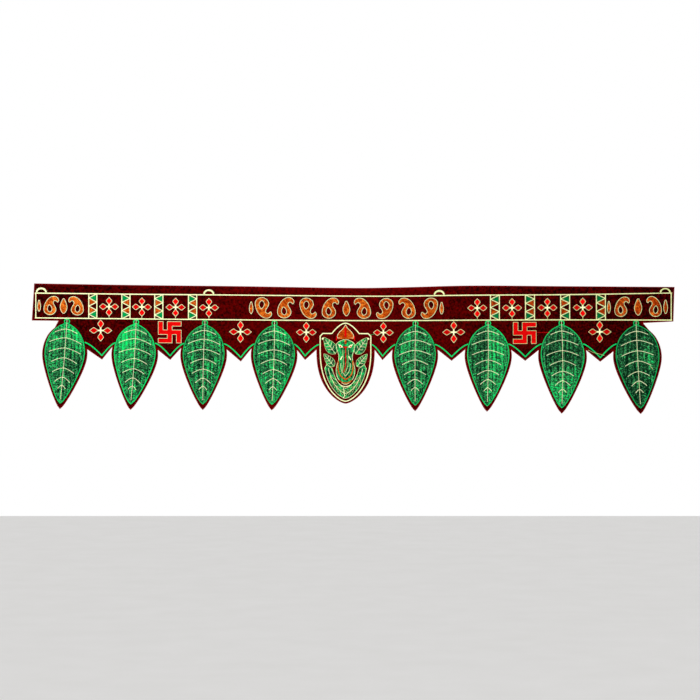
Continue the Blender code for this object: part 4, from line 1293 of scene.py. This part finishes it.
def sign_loop(x):
    """Outline of the old good-luck sign of four equal arms, upright, each arm bent to the right."""
    arm = ((0.5, 0.5), (0.5, 1.5), (2.5, 1.5), (2.5, 2.5), (-0.5, 2.5))
    v = LOWER_LINE - SIGN_DEPTH
    loop = []
    for quarter in range(4):
        cosine, sine = round(math.cos(quarter * math.pi / 2)), round(math.sin(quarter * math.pi / 2))
        for a, b in arm:
            turned = (a * cosine - b * sine, a * sine + b * cosine)
            loop.append((x + turned[0] * SIGN_UNIT_X, v + turned[1] * SIGN_UNIT_V))
    return turned_left(loop)


def edging_end(hanging, side):
    """The x where a drop's edging meets its neighbour, a leaf or the shield's border."""
    if hanging is None:
        return SHIELD_X + side * (BORDER_HALF + LINE_WIDTH / 2)
    root, tip, half_width = thread_leaf(hanging)
    foot = LOWER_LINE - EDGING_SHOULDER - 0.0012
    along = (root[1] - foot) / (root[1] - tip[1])
    return leaf_side(root, tip, half_width, along, side, hanging.sway)[0][0]


def edging_path(drop, left_hanging, right_hanging):
    """The line that follows a pointed drop's edge from one neighbour to the next."""
    left = edging_end(left_hanging, 1) + 0.0003
    right = edging_end(right_hanging, -1) - 0.0003
    shares = np.linspace(1.0, 0.12, 9)
    fall = drop.depth - EDGING_MARGIN - EDGING_SHOULDER
    path = []
    for end, order in ((left, shares), (right, shares[::-1])):
        for share in order:
            depth = EDGING_SHOULDER + fall * (1 - share) ** EDGING_POWER
            path.append((drop.x + (end - drop.x) * share, LOWER_LINE - depth))
        if end == left:
            path.append((drop.x, LOWER_LINE - EDGING_SHOULDER - fall))
    return path


def shield_border_path():
    """Centre line of the shield's border: the curve, two shoulders and the arch, once round."""
    corner = BORDER_SHOULDER + BORDER_CORNER
    path = shield_curve(BORDER_HALF, BORDER_TIP, corner, 30)
    shoulder_v = LOWER_LINE - BORDER_SHOULDER
    path.append((SHIELD_X + BORDER_HALF - BORDER_CORNER, shoulder_v))
    rise = BORDER_SHOULDER - ARCH_TOP
    for i in range(25):
        share = math.cos(math.pi * i / 24)
        path.append((SHIELD_X + ARCH_HALF * share, shoulder_v + rise * (1 - abs(share) ** ARCH_POWER)))
    path.append((SHIELD_X - BORDER_HALF + BORDER_CORNER, shoulder_v))
    return path


def on_shield(points, side=1):
    """Places on the shield, given from its middle and below the lower line."""
    return [(SHIELD_X + side * x, LOWER_LINE + v) for x, v in points]


def side_light(x):
    """How much brighter the thread looks towards the left, where the light comes from."""
    return -0.36 * np.asarray(x)


def dashes(rng, wide, tall):
    """A tone that changes from dash to dash, each wide and tall, as a function of places on the pattern."""
    values = rng.random((DASH_COLUMNS, DASH_ROWS))
    shift = rng.random(DASH_COLUMNS) * tall

    def tone(x, v):
        column = np.floor((x + 0.5) / wide).astype(int) % DASH_COLUMNS
        row = np.floor((shift[column] - v) / tall).astype(int) % DASH_ROWS
        return values[column, row]

    return tone


# Pieces


def cut_velvet():
    """The velvet: one cut sheet, thickened, with its cut edge and its woven back."""
    outline = panel_outline()
    rim = turned_left(outline)
    nearer = offset_path(rim, EDGE_BAND, closed=True)
    farther = offset_path(rim, EDGE_FADE, closed=True)
    xs, vs = [p[0] for p in rim], [p[1] for p in rim]
    row_step = VELVET_STEP * math.sqrt(3) / 2
    grid = []
    for row in range(int((max(vs) - min(vs)) / row_step) + 1):
        shift = VELVET_STEP / 2 if row % 2 else 0.0
        columns = np.arange(min(xs) + shift, max(xs), VELVET_STEP)
        grid.append(np.column_stack([columns, np.full(len(columns), max(vs) - row * row_step)]))
    grid = np.vstack(grid)
    grid = grid[inside(grid, rim)]
    grid = grid[clearance(grid, rim) > GRID_MARGIN]
    points, edges, marks = list(rim), [], [1.0] * len(rim)
    edges += [(i, (i + 1) % len(rim)) for i in range(len(rim))]
    for loop, mark in ((nearer, 0.45), (farther, 0.0)):
        loop = np.array(loop)
        loop = loop[inside(loop, rim)]
        loop = loop[clearance(loop, rim) > (0.0007 if mark else 0.0020)]
        points += [tuple(p) for p in loop]
        marks += [mark] * len(loop)
    points += [tuple(p) for p in grid]
    marks += [0.0] * len(grid)
    places, _, triangles, sources, _, _ = delaunay_2d_cdt([Vector(p) for p in points], edges, [], 1, 1e-7)
    mesh = bpy.data.meshes.new("velvet_cloth")
    flat = [(p.x, -VELVET_THICKNESS, p.y) for p in places]
    mesh.from_pydata(flat, [], [tuple(t) for t in triangles])
    near = [max(marks[s] for s in source) if source else 0.0 for source in sources]
    mesh.attributes.new("edge", "FLOAT", "POINT").data.foreach_set("value", near)
    hang(mesh)
    cloth = bpy.data.objects.new("velvet_cloth", mesh)
    bpy.context.scene.collection.objects.link(cloth)
    edit(cloth, lambda co: True)
    bpy.ops.mesh.normals_make_consistent(inside=False)
    bpy.ops.object.mode_set(mode="OBJECT")
    if mesh.polygons[0].normal.y > 0:
        mesh.flip_normals()
    for made in (velvet_material(), edge_material(), back_material()):
        mesh.materials.append(made)
    thick = cloth.modifiers.new("thickness", "SOLIDIFY")
    thick.thickness = VELVET_THICKNESS
    thick.offset = -1.0
    thick.use_even_offset = False
    thick.material_offset_rim = 1
    thick.material_offset = 2
    bpy.ops.object.modifier_apply(modifier="thickness")
    mesh.polygons.foreach_set("use_smooth", np.ones(len(mesh.polygons), dtype=bool))
    bpy.ops.object.shade_smooth_by_angle(angle=math.radians(40))
    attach(cloth, BODY)
    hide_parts("velvet_panel")
    x, v = np.array(rim).T
    area = abs(np.sum(x * np.roll(v, -1) - np.roll(x, -1) * v)) / 2
    STITCH["cloth"] = (cloth, (WIDTH, max(vs) - min(vs)), float(area))


def sew_band_border():
    """The cream border: two long lines, the uprights between them, and the zigzags of the strips."""
    sewing = bpy.context.scene.toran_sewing
    rng = seeded("border")
    half = LINE_WIDTH / 2
    lines = []
    for line in (UPPER_LINE, LOWER_LINE):
        ends = ((BORDER_LEFT - half, line), (BORDER_RIGHT + half, line))
        lines.append((subdivided(list(ends), 0.01), LINE_THREAD))
    lines += [([(x, UPPER_LINE), (x, LOWER_LINE)], LINE_THREAD * 0.92) for x in band_columns()]
    lines += [(zigzag_path(strip), ZIGZAG_WIDTH) for strip in STRIPS]
    tables = []
    for path, width in lines:
        place, _ = walk(path, sewing.line_pitch)
        tone = 0.84 + side_light(place[:, 0])
        tables.append(satin(path, width, LINE_LIFT, tone, sewing.line_pitch, rng, arch=LINE_ARCH))
    sew("band_border_thread", tables, "cream_thread", nodes=["band_border"])


def sew_strip_triangles():
    """The filled triangles of the strips: green on the side where the zigzag starts, orange on the other."""
    sewing = bpy.context.scene.toran_sewing
    rng = seeded("triangles")
    greens, oranges = [], []
    for strip in STRIPS:
        path = zigzag_path(strip)
        for i in (0, 4, 1, 3):
            cell = inset_cell(path[i : i + 3])
            tone = 0.20 + side_light(strip.x) if i % 2 == 0 else 0.38 + side_light(strip.x)
            table = filling([cell], 0.0, sewing.fill_pitch, 0.006, LINE_LIFT, tone, rng)
            (oranges if i % 2 else greens).append(table)
    sew("strip_triangles_green", greens, "green_thread")
    sew("strip_triangles_orange", oranges, "orange_thread")


def sew_hanging_rings():
    """The stitched half rings that stand on the upper line, on the flap."""
    sewing = bpy.context.scene.toran_sewing
    rng = seeded("rings")
    for i, x in enumerate(RING_XS):
        top, upper = (through_rows(HANG, x, name) for name in ("top_edge", "upper_line"))
        stretch = float(-UPPER_LINE / (top - upper))
        foot = UPPER_LINE + LINE_WIDTH / 2
        mid_half, mid_rise = RING_HALF - RING_WIDTH / 2, (RING_HEIGHT - RING_WIDTH / 2) * stretch
        turns = np.linspace(0, math.pi, 33)
        path = [(x + mid_half * math.cos(t), foot + mid_rise * math.sin(t)) for t in turns]
        tone = 0.80 + float(side_light(x))
        table = satin(path, RING_WIDTH, LINE_LIFT, tone, sewing.line_pitch, rng, arch=RING_ARCH)
        sew(f"hanging_ring_{i + 1}_thread", [table], "cream_thread", nodes=[f"hanging_ring_{i + 1}"])


def all_flowers():
    """Name and shape of each flower."""
    named = []
    for i, x in enumerate(BAND_FLOWER_XS):
        named.append((f"band_flower_{i + 1}", Flower(x, BAND_FLOWER_V, BAND_FLOWER_ACROSS, BAND_FLOWER_UP)))
    for i, flower in enumerate(DROP_FLOWERS):
        named.append((f"drop_flower_{i + 1}", flower))
    return named


def sew_flowers():
    """The red flowers of four pointed petals, and the cream lines round their petals."""
    sewing = bpy.context.scene.toran_sewing
    rng = seeded("flowers")
    creams = []
    for name, flower in all_flowers():
        light = float(side_light(flower.x))
        tables = []
        petals = flower_petals(flower)
        for quarter, petal in enumerate(petals):
            tone = 0.80 + 0.6 * light + (0.12 if quarter % 2 else -0.22)
            angle = 0.0 if quarter % 2 else math.pi / 2
            tables.append(
                filling([petal], angle, sewing.fill_pitch, sewing.fill_stitch * 1.4, FILL_LIFT, tone, rng)
            )
        sew(name + "_thread", tables, "red_thread", nodes=[name], grounds=petals)
        for petal in flower_petals(flower, grow=sewing.outline_width * 0.40):
            tone = 0.74 + light
            creams.append(
                satin(petal, sewing.outline_width, OUTLINE_LIFT, tone, sewing.line_pitch, rng, closed=True)
            )
        for dx, dv, reach in ((1, 0, flower.across), (0, 1, flower.up)):
            a = (flower.x - dx * reach * HEART_SHARE, flower.v - dv * reach * HEART_SHARE)
            b = (flower.x + dx * reach * HEART_SHARE, flower.v + dv * reach * HEART_SHARE)
            creams.append(satin([a, b], HEART_WIDTH, OUTLINE_LIFT, 1.1 + light, sewing.line_pitch, rng))
        if name.startswith("band"):
            stem = [(flower.x, flower.v - flower.up), (flower.x, LOWER_LINE + LINE_WIDTH / 2)]
            creams.append(satin(stem, STEM_WIDTH, OUTLINE_LIFT, 0.6 + light, sewing.line_pitch, rng))
    sew("flower_outlines", creams, "cream_thread")


def sew_scrolls():
    """The orange scrolls and buds of the band, and the cream lines round them."""
    sewing = bpy.context.scene.toran_sewing
    rng = seeded("scrolls")
    shapes = []
    for scroll in scrolls():
        outline, eye = (rounded(scroll_loop(scroll, rows)) for rows in (SCROLL, SCROLL_EYE))
        shapes.append((scroll.name, outline, eye))
    shapes.append(("centre_bud", rounded(bud_loop(CENTRE_BUD), 1), None))
    for i, bud in enumerate(BUDS):
        shapes.append((f"bud_{i + 1}", rounded(bud_loop(bud), 1), None))
    creams = []
    streak = dashes(rng, 0.0016, 0.0042)
    for name, loop, eye in shapes:
        middle = sum(p[0] for p in loop) / len(loop)
        light = float(side_light(middle))

        def tone(x, v, light=light):
            return 0.18 + light * 0.8 + 0.60 * streak(x, v)

        angle = math.radians(rng.uniform(35, 70))
        loops = [loop, eye] if eye else [loop]
        table = filling(loops, angle, sewing.fill_pitch, sewing.fill_stitch, FILL_LIFT, tone, rng)
        nodes = [] if name.startswith("bud") else [name]
        sew(name + "_thread", [table], "orange_thread", nodes=nodes, grounds=[] if eye else [loop])
        width = sewing.outline_width
        lines = [offset_path(loop, -width * 0.40, closed=True)]
        if eye:
            lines.append(offset_path(eye, width * 0.40, closed=True))
        for line in lines:
            creams.append(satin(line, width, OUTLINE_LIFT, 0.84 + light, sewing.line_pitch, rng, closed=True))
    sew("scroll_outlines", creams, "cream_thread")


def leaf_tone(leaf, mood, rng):
    """The tone of a leaf's filling by place: short dashes, and the leaf's brighter and darker patches."""
    sewing = bpy.context.scene.toran_sewing
    root, tip, half_width = thread_leaf(leaf)
    axis = np.array(tip) - np.array(root)
    long = np.hypot(*axis)
    axis = axis / long
    row = rng.random((2, LEAF_LINES))
    band = rng.random((LEAF_STRIPS, LEAF_LINES))

    def tone(x, v):
        dx, dv = x - root[0], v - root[1]
        along = (dx * axis[0] + dv * axis[1]) / long
        half = np.maximum(0.1, through_rows(LEAF_SHAPE, np.clip(along, 0, 1), "half")) * half_width
        across = (dv * axis[0] - dx * axis[1]) / half
        side = (across > 0).astype(int)
        fall = np.abs(dx) * math.tan(LEAF_ROW_SLOPE) - dv
        line = np.floor(fall / LEAF_LINE_PITCH).astype(int) % LEAF_LINES
        strip = np.floor(x / sewing.leaf_stitch).astype(int) % LEAF_STRIPS
        value = mood.tone + 0.20 * (row[side, line] - 0.5) + 0.14 * (band[strip, line] - 0.5)
        value = value + 0.08 * np.sin(2 * math.pi * x / sewing.leaf_stitch)
        for patch in mood.patches:
            away = ((across - patch.across) / patch.wide) ** 2 + ((along - patch.along) / patch.tall) ** 2
            value = value + patch.change * np.exp(-away)
        return value

    return tone


def leaf_vein_paths(leaf):
    """The midrib of a stitched leaf and its arched veins."""
    root, tip, _ = thread_leaf(leaf)
    down = (Vector(tip) - Vector(root)).normalized()
    across = Vector((-down.y, down.x))
    midrib = leaf_side(root, tip, 0.0, np.linspace(0.0, MIDRIB_END, 24), 1, leaf.sway)
    veins = []
    for vein in VEINS:
        joint = Vector(leaf_side(root, tip, 0.0, vein.share, 1, leaf.sway)[0])
        arch = []
        for share in np.linspace(-1, 1, 21):
            fall = vein.droop * abs(share) ** VEIN_POWER
            arch.append(tuple(joint + across * (vein.reach * share) + down * fall))
        veins.append(arch)
    return midrib, veins


def sew_leaves():
    """The eight leaves: their filling, their bright rims with a little ring on top, and their veins."""
    sewing = bpy.context.scene.toran_sewing
    rng = seeded("leaves")
    rims, veins = [], []
    for i, (leaf, mood) in enumerate(zip(LEAVES, LEAF_MOODS)):
        root, tip, half_width = thread_leaf(leaf, 0.0006)
        loop = [root, *leaf_loop(root, tip, half_width, 30, leaf.sway)]
        tone = leaf_tone(leaf, mood, rng)
        middle = leaf_side(root, tip, 0.0, np.linspace(0.98, 0.02, 24), 1, leaf.sway)
        tables = []
        for side in (-1, 1):
            edge = leaf_side(root, tip, half_width, np.linspace(0.0, 1.0, 40), side, leaf.sway)
            slope = math.pi / 2 - LEAF_ROW_SLOPE
            tables.append(
                filling(
                    [edge + middle],
                    slope * side,
                    sewing.leaf_pitch,
                    sewing.leaf_stitch,
                    FILL_LIFT,
                    tone,
                    rng,
                    banded=True,
                )
            )
        name = f"leaf_{i + 1}"
        sew(name + "_thread", tables, "leaf_thread", nodes=[name], grounds=[turned_left(loop)])
        root, tip, half_width = thread_leaf(leaf, 0.0008)
        edge = leaf_loop(root, tip, half_width, 40, leaf.sway)
        rims.append(satin([root, *edge, root], LEAF_RIM_WIDTH, RIM_LIFT, mood.rim, sewing.line_pitch, rng))
        turns = np.radians(np.linspace(-LEAF_RING_START, 180 + LEAF_RING_START, 30))
        ring_v = LOWER_LINE - LEAF_RING_DEPTH
        ring = [
            (leaf.x_top + LEAF_RING_RADIUS * math.cos(t), ring_v + LEAF_RING_RADIUS * math.sin(t)) for t in turns
        ]
        rims.append(satin(ring, LEAF_RING_WIDTH, OUTLINE_LIFT, mood.rim + 0.05, sewing.line_pitch, rng))
        midrib, arches = leaf_vein_paths(leaf)
        light = float(side_light(leaf.x_top))
        midrib = [(leaf.x_top, LOWER_LINE - LINE_WIDTH / 2), *midrib]
        width = sewing.vein_width * MIDRIB_SHARE
        veins.append(running(midrib, MIDRIB_STITCH, width, VEIN_LIFT, 1.0 + 0.8 * light, rng))
        for arch in arches:
            veins.append(running(arch, VEIN_STITCH, sewing.vein_width, VEIN_LIFT, 1.12 + 0.8 * light, rng))
    sew("leaf_rims", rims, "green_thread")
    sew("leaf_veins", veins, "cream_thread")


def sew_signs():
    """The two red good-luck signs with cream outlines."""
    sewing = bpy.context.scene.toran_sewing
    rng = seeded("signs")
    creams = []
    for name, x in SIGNS:
        loop = sign_loop(x)
        light = float(side_light(x))
        patches = dashes(rng, 0.0030, 0.0030)

        def tone(px, pv, light=light, patches=patches):
            return 0.66 + 0.5 * light + 0.3 * patches(px, pv)

        tables = [filling([loop], math.pi / 2, sewing.fill_pitch, sewing.fill_stitch, FILL_LIFT, tone, rng)]
        sew(name + "_thread", tables, "red_thread", nodes=[name], grounds=[loop])
        width = sewing.outline_width * 0.82
        outline = offset_path(loop, -width * 0.40, closed=True)
        creams.append(satin(outline, width, OUTLINE_LIFT, 0.70 + light, sewing.line_pitch, rng, closed=True))
    sew("sign_outlines", creams, "cream_thread")


def sew_edgings():
    """The green lines along the pointed drops."""
    sewing = bpy.context.scene.toran_sewing
    rng = seeded("edgings")
    middle = len(LEAVES) // 2
    hangings = [*LEAVES[:middle], None, *LEAVES[middle:]]
    for i, drop in enumerate(DROPS):
        path = edging_path(drop, hangings[i], hangings[i + 1])
        tone = 0.80 + 0.5 * float(side_light(drop.x))
        table = satin(path, EDGING_WIDTH, LINE_LIFT, tone, sewing.line_pitch, rng, arch=LINE_ARCH)
        name = f"drop_edging_{i + 1}"
        sew(name + "_thread", [table], "green_thread", nodes=[name])


def sew_loose_threads():
    """The ends of thread that were left loose on the cloth."""
    rng = seeded("loose")
    for i, loose in enumerate(LOOSE_THREADS):
        path = rounded(list(loose.points), 2, closed=False)
        table = running(path, 0.0030, loose.width, loose.lift, loose.tone, rng)
        sew(f"loose_end_{i + 1}", [table], loose.thread)


def small_leaf(leaf, side):
    """Outline and veins of one of the figure's small leaves."""
    start, end = on_shield([leaf.root, leaf.tip], side)
    loop = rounded([start] + leaf_loop(start, end, leaf.half, 12), 1)
    axis = Vector(end) - Vector(start)
    across = Vector((-axis.y, axis.x)).normalized()
    lines = [[tuple(Vector(start) + axis * share) for share in (0.0, 0.5, 0.86)]]
    for share in (0.26, 0.44, 0.62):
        joint = Vector(start) + axis * share
        reach = leaf.half * (0.72 - 0.45 * abs(share - 0.36))
        for turn in (-1, 1):
            lines.append([tuple(joint), tuple(joint + across * (reach * turn) + axis * 0.12)])
    return loop, lines


def sew_shield():
    """The cream line round the shield."""
    sewing = bpy.context.scene.toran_sewing
    rng = seeded("shield")
    path = shield_border_path()
    table = satin(path, LINE_THREAD, LINE_LIFT, 0.9, sewing.line_pitch, rng, closed=True, arch=LINE_ARCH)
    sew("shield_border_thread", [table], "cream_thread", nodes=["shield_border"])


def sew_emblem():
    """The shield's figure: the traditional seated figure with an elephant's head, made of leaves."""
    sewing = bpy.context.scene.toran_sewing
    rng = seeded("figure")
    dash = dashes(rng, 0.0016, 0.0032)
    sewn = {"cream_thread": [], "red_thread": [], "orange_thread": []}

    def green(x, v):
        return 0.08 + 0.84 * dash(x, v)

    def motif(node, thread, loop, tone, angle=0.0):
        table = filling([loop], angle, sewing.fill_pitch, sewing.fill_stitch, FILL_LIFT, tone, rng)
        sew(node + "_thread", [table], thread, nodes=[node], grounds=[turned_left(loop)])

    def cream_line(points, width=0.0009, tone=0.86, closed=False, lift=OUTLINE_LIFT):
        line = satin(points, width, lift, tone, sewing.line_pitch, rng, closed=closed)
        sewn["cream_thread"].append(line)

    def detail(line, side=1):
        path = on_shield(line.path, side)
        if line.curved:
            path = rounded(path, closed=False)
        sewn[line.thread].append(satin(path, line.width, line.lift, line.tone, sewing.line_pitch, rng))

    figure = rounded(turned_left(spine_loop(FIGURE, lambda p: on_shield([p])[0])), 1)
    motif("emblem_figure", "leaf_thread", figure, green)
    cream_line(figure, closed=True)
    half_crown = on_shield(CROWN)
    crown = turned_left([(2 * SHIELD_X - x, v) for x, v in half_crown[1:]][::-1] + half_crown)
    motif("emblem_crown", "orange_thread", crown, 0.45)
    cream_line(crown, closed=True)
    for name, side in (("left", -1), ("right", 1)):
        for leaf in FIGURE_LEAVES:
            loop, lines = small_leaf(leaf, side)
            motif(f"emblem_{leaf.name}_{name}", "leaf_thread", loop, green, -FIGURE_LEAF_ANGLE * side)
            cream_line(loop, 0.0005, 0.6, closed=True)
            for line in lines:
                cream_line(line, 0.0006, 0.9, lift=VEIN_LIFT)
    rows = ((SEAT_OUTER_HALF, SEAT_FOOT), (SEAT_INNER_HALF, SEAT_INNER_FOOT))
    outer, inner = (shield_curve(half, foot, SEAT_TOP, 24) for half, foot in rows)
    horns = on_shield([(-SEAT_HORN[0], SEAT_HORN[1])]) + on_shield([SEAT_HORN])
    seat = turned_left([horns[0], *outer, horns[1], *inner[::-1]])
    motif("emblem_seat", "leaf_thread", seat, green)
    cream_line(seat, 0.0008, 0.75, closed=True)
    middle = [((a[0] + b[0]) / 2, (a[1] + b[1]) / 2) for a, b in zip(outer, inner)]
    cream_line(middle, 0.0009, 0.95, lift=VEIN_LIFT)
    for k in range(SEAT_VEIN_STEP, len(middle) // 2 - 2, SEAT_VEIN_STEP):
        for start, end in ((k, k + SEAT_VEIN_STEP), (-1 - k, -1 - k - SEAT_VEIN_STEP)):
            for edge in (outer, inner):
                foot = Vector(middle[end]).lerp(Vector(edge[end]), 0.55)
                cream_line([middle[start], tuple(foot)], 0.0006, 0.45, lift=VEIN_LIFT)
    for line in BODY_LINES:
        detail(line)
    for side in (-1, 1):
        eye = on_shield(EYE, side)
        whites = filling([eye], 0.3 * side, sewing.fill_pitch, 0.004, VEIN_LIFT, 1.1, rng)
        sewn["cream_thread"].append(whites)
        detail(PUPIL, side)
        fold = [(x + TRUNK_HALF * side * (1 - k * TRUNK_TAPER), v) for k, (x, v) in enumerate(TRUNK)]
        cream_line(rounded(on_shield(fold), closed=False), 0.0007, 0.55, lift=VEIN_LIFT)
        for line in SIDE_LINES:
            detail(line, side)
    trunk = rounded(on_shield([TRUNK_TOP, *TRUNK[1:]]), closed=False)[:-2]
    line = satin(trunk, 0.0015, VEIN_LIFT + 0.0002, 0.7, sewing.line_pitch, rng)
    sewn["red_thread"].append(line)
    for line in FACE_LINES:
        detail(line)
    sew("emblem_cream_lines", sewn["cream_thread"], "cream_thread")
    sew("emblem_red_details", sewn["red_thread"], "red_thread")
    sew("emblem_orange_details", sewn["orange_thread"], "orange_thread")


def sew_back():
    """The bobbin thread on the back: the outlines of the work, in a dull red running stitch."""
    rng = seeded("back")
    paths = [[(BORDER_LEFT, line), (BORDER_RIGHT, line)] for line in (UPPER_LINE, LOWER_LINE)]
    paths += [[(x, UPPER_LINE), (x, LOWER_LINE)] for x in band_columns()]
    for leaf in LEAVES:
        root, tip, half_width = thread_leaf(leaf, 0.0008)
        edge = leaf_loop(root, tip, half_width, 24, leaf.sway)
        midrib, veins = leaf_vein_paths(leaf)
        paths += [[root, *edge, root], midrib, *veins]
    paths.append([*shield_border_path(), shield_border_path()[0]])
    for _, flower in all_flowers():
        paths += [[*petal, petal[0]] for petal in flower_petals(flower)]
    for scroll in scrolls():
        loop = rounded(scroll_loop(scroll, SCROLL), 1)
        paths.append([*loop, loop[0]])
    for _, x in SIGNS:
        loop = sign_loop(x)
        paths.append([*loop, loop[0]])
    tables = [running(path, 0.0030, 0.0005, 0.0, 0.2, rng) for path in paths]
    table = np.vstack(tables)
    table[:, 5] = -bpy.context.scene.toran_sewing.thread_height * 0.62
    table[:, 6] = 0.0
    piece = sew("back_bobbin_thread", [table], "red_thread")
    piece.data.materials.clear()
    piece.data.materials.append(bobbin_material())


def set_stage():
    """The pale floor, the soft lights, the white room and the camera."""
    studio = bpy.context.scene.toran_studio
    clear_selection()
    bpy.ops.mesh.primitive_plane_add(size=FLOOR_SIZE, location=(0.0, -FLOOR_FORWARD, -studio.floor_depth))
    floor = bpy.context.object
    floor.name = "studio_floor"
    bpy.ops.object.transform_apply(location=True, rotation=True, scale=True)
    floor.data.materials.append(floor_material())
    aim = Vector((0.0, 0.0, -0.09))
    for name, power, size, where in (
        ("key_light", studio.key_power, 1.6, (-1.9, -2.3, 0.9)),
        ("fill_light", studio.fill_power, 1.8, (2.0, -2.4, 0.2)),
        ("back_light", studio.fill_power, 1.8, (0.6, 2.6, 0.8)),
    ):
        lamp = bpy.data.lights.new(name, "AREA")
        lamp.energy = power
        lamp.size = size
        light = bpy.data.objects.new(name, lamp)
        light.location = where
        light.rotation_euler = (aim - Vector(where)).to_track_quat("-Z", "Y").to_euler()
        bpy.context.scene.collection.objects.link(light)
    world = bpy.data.worlds.new("white_room")
    world.use_nodes = True
    tree = world.node_tree
    room = tree.nodes["Background"]
    room.inputs["Color"].default_value = (1.0, 1.0, 1.0, 1.0)
    room.inputs["Strength"].default_value = studio.room_light
    seen = tree.nodes.new("ShaderNodeBackground")
    seen.inputs["Color"].default_value = (1.0, 1.0, 1.0, 1.0)
    seen.inputs["Strength"].default_value = 1.0
    rays = tree.nodes.new("ShaderNodeLightPath")
    either = tree.nodes.new("ShaderNodeMixShader")
    tree.links.new(rays.outputs["Is Camera Ray"], either.inputs["Fac"])
    tree.links.new(room.outputs[0], either.inputs[1])
    tree.links.new(seen.outputs[0], either.inputs[2])
    tree.links.new(either.outputs[0], tree.nodes["World Output"].inputs["Surface"])
    bpy.context.scene.world = world
    bpy.context.scene.view_settings.view_transform = "Standard"
    camera = bpy.data.cameras.new("photo_camera")
    camera.lens = 100.0
    camera.sensor_width = 36.0
    camera.clip_start = 0.05
    seat = bpy.data.objects.new("photo_camera", camera)
    away = studio.view_width * camera.lens / camera.sensor_width
    seat.location = (studio.view_x, -away - 0.003, studio.view_z)
    seat.rotation_euler = (math.pi / 2, 0.0, 0.0)
    bpy.context.scene.collection.objects.link(seat)
    bpy.context.scene.camera = seat


class TORAN_OT_velvet(Operator):
    """Cut the velvet panel and hang it"""

    bl_idname = "toran.velvet"
    bl_label = "Velvet"

    def execute(self, context):
        cut_velvet()
        return {"FINISHED"}


class TORAN_OT_border(Operator):
    """Sew the cream border of the band and the filled triangles of its strips"""

    bl_idname = "toran.border"
    bl_label = "Band border"

    def execute(self, context):
        sew_band_border()
        sew_strip_triangles()
        return {"FINISHED"}


class TORAN_OT_rings(Operator):
    """Sew the half rings on the flap"""

    bl_idname = "toran.rings"
    bl_label = "Half rings"

    def execute(self, context):
        sew_hanging_rings()
        return {"FINISHED"}


class TORAN_OT_flowers(Operator):
    """Sew the red flowers"""

    bl_idname = "toran.flowers"
    bl_label = "Flowers"

    def execute(self, context):
        sew_flowers()
        return {"FINISHED"}


class TORAN_OT_scrolls(Operator):
    """Sew the orange scrolls and the buds"""

    bl_idname = "toran.scrolls"
    bl_label = "Scrolls"

    def execute(self, context):
        sew_scrolls()
        return {"FINISHED"}


class TORAN_OT_leaves(Operator):
    """Sew the eight leaves"""

    bl_idname = "toran.leaves"
    bl_label = "Leaves"

    def execute(self, context):
        sew_leaves()
        return {"FINISHED"}


class TORAN_OT_signs(Operator):
    """Sew the two good-luck signs"""

    bl_idname = "toran.signs"
    bl_label = "Signs"

    def execute(self, context):
        sew_signs()
        return {"FINISHED"}


class TORAN_OT_edgings(Operator):
    """Sew the green edgings of the pointed drops, and leave the loose ends of thread"""

    bl_idname = "toran.edgings"
    bl_label = "Edgings"

    def execute(self, context):
        sew_edgings()
        sew_loose_threads()
        return {"FINISHED"}


class TORAN_OT_shield(Operator):
    """Sew the shield's border and its figure"""

    bl_idname = "toran.shield"
    bl_label = "Shield"

    def execute(self, context):
        sew_shield()
        sew_emblem()
        return {"FINISHED"}


class TORAN_OT_back(Operator):
    """Sew the bobbin thread on the back"""

    bl_idname = "toran.back"
    bl_label = "Back"

    def execute(self, context):
        sew_back()
        return {"FINISHED"}


class TORAN_OT_stage(Operator):
    """Set up the floor, the lights and the camera"""

    bl_idname = "toran.stage"
    bl_label = "Studio"

    def execute(self, context):
        set_stage()
        return {"FINISHED"}


STEPS = (
    TORAN_OT_velvet,
    TORAN_OT_border,
    TORAN_OT_rings,
    TORAN_OT_flowers,
    TORAN_OT_scrolls,
    TORAN_OT_leaves,
    TORAN_OT_signs,
    TORAN_OT_edgings,
    TORAN_OT_shield,
    TORAN_OT_back,
    TORAN_OT_stage,
)


class TORAN_PT_steps(Panel):
    """The steps of the toran's making, in their order"""

    bl_label = "Toran"
    bl_space_type = "VIEW_3D"
    bl_region_type = "UI"
    bl_category = "Toran"

    def draw(self, context):
        for group in ("toran_colours", "toran_sewing", "toran_studio"):
            box = self.layout.box()
            owner = getattr(context.scene, group)
            for name in owner.__annotations__:
                box.prop(owner, name)
        for step in STEPS:
            self.layout.operator(step.bl_idname)


CLASSES = (ToranColours, ToranSewing, ToranStudio, *STEPS, TORAN_PT_steps)


def register():
    for made in CLASSES:
        bpy.utils.register_class(made)
    bpy.types.Scene.toran_colours = PointerProperty(type=ToranColours)
    bpy.types.Scene.toran_sewing = PointerProperty(type=ToranSewing)
    bpy.types.Scene.toran_studio = PointerProperty(type=ToranStudio)


def unregister():
    for name in ("toran_studio", "toran_sewing", "toran_colours"):
        delattr(bpy.types.Scene, name)
    for made in reversed(CLASSES):
        bpy.utils.unregister_class(made)


def main():
    """Makes the whole toran."""
    register()
    STITCH["model"] = model_stitch()
    for step in STEPS:
        owner, name = step.bl_idname.split(".")
        getattr(getattr(bpy.ops, owner), name)()


if __name__ == "__main__":
    main()
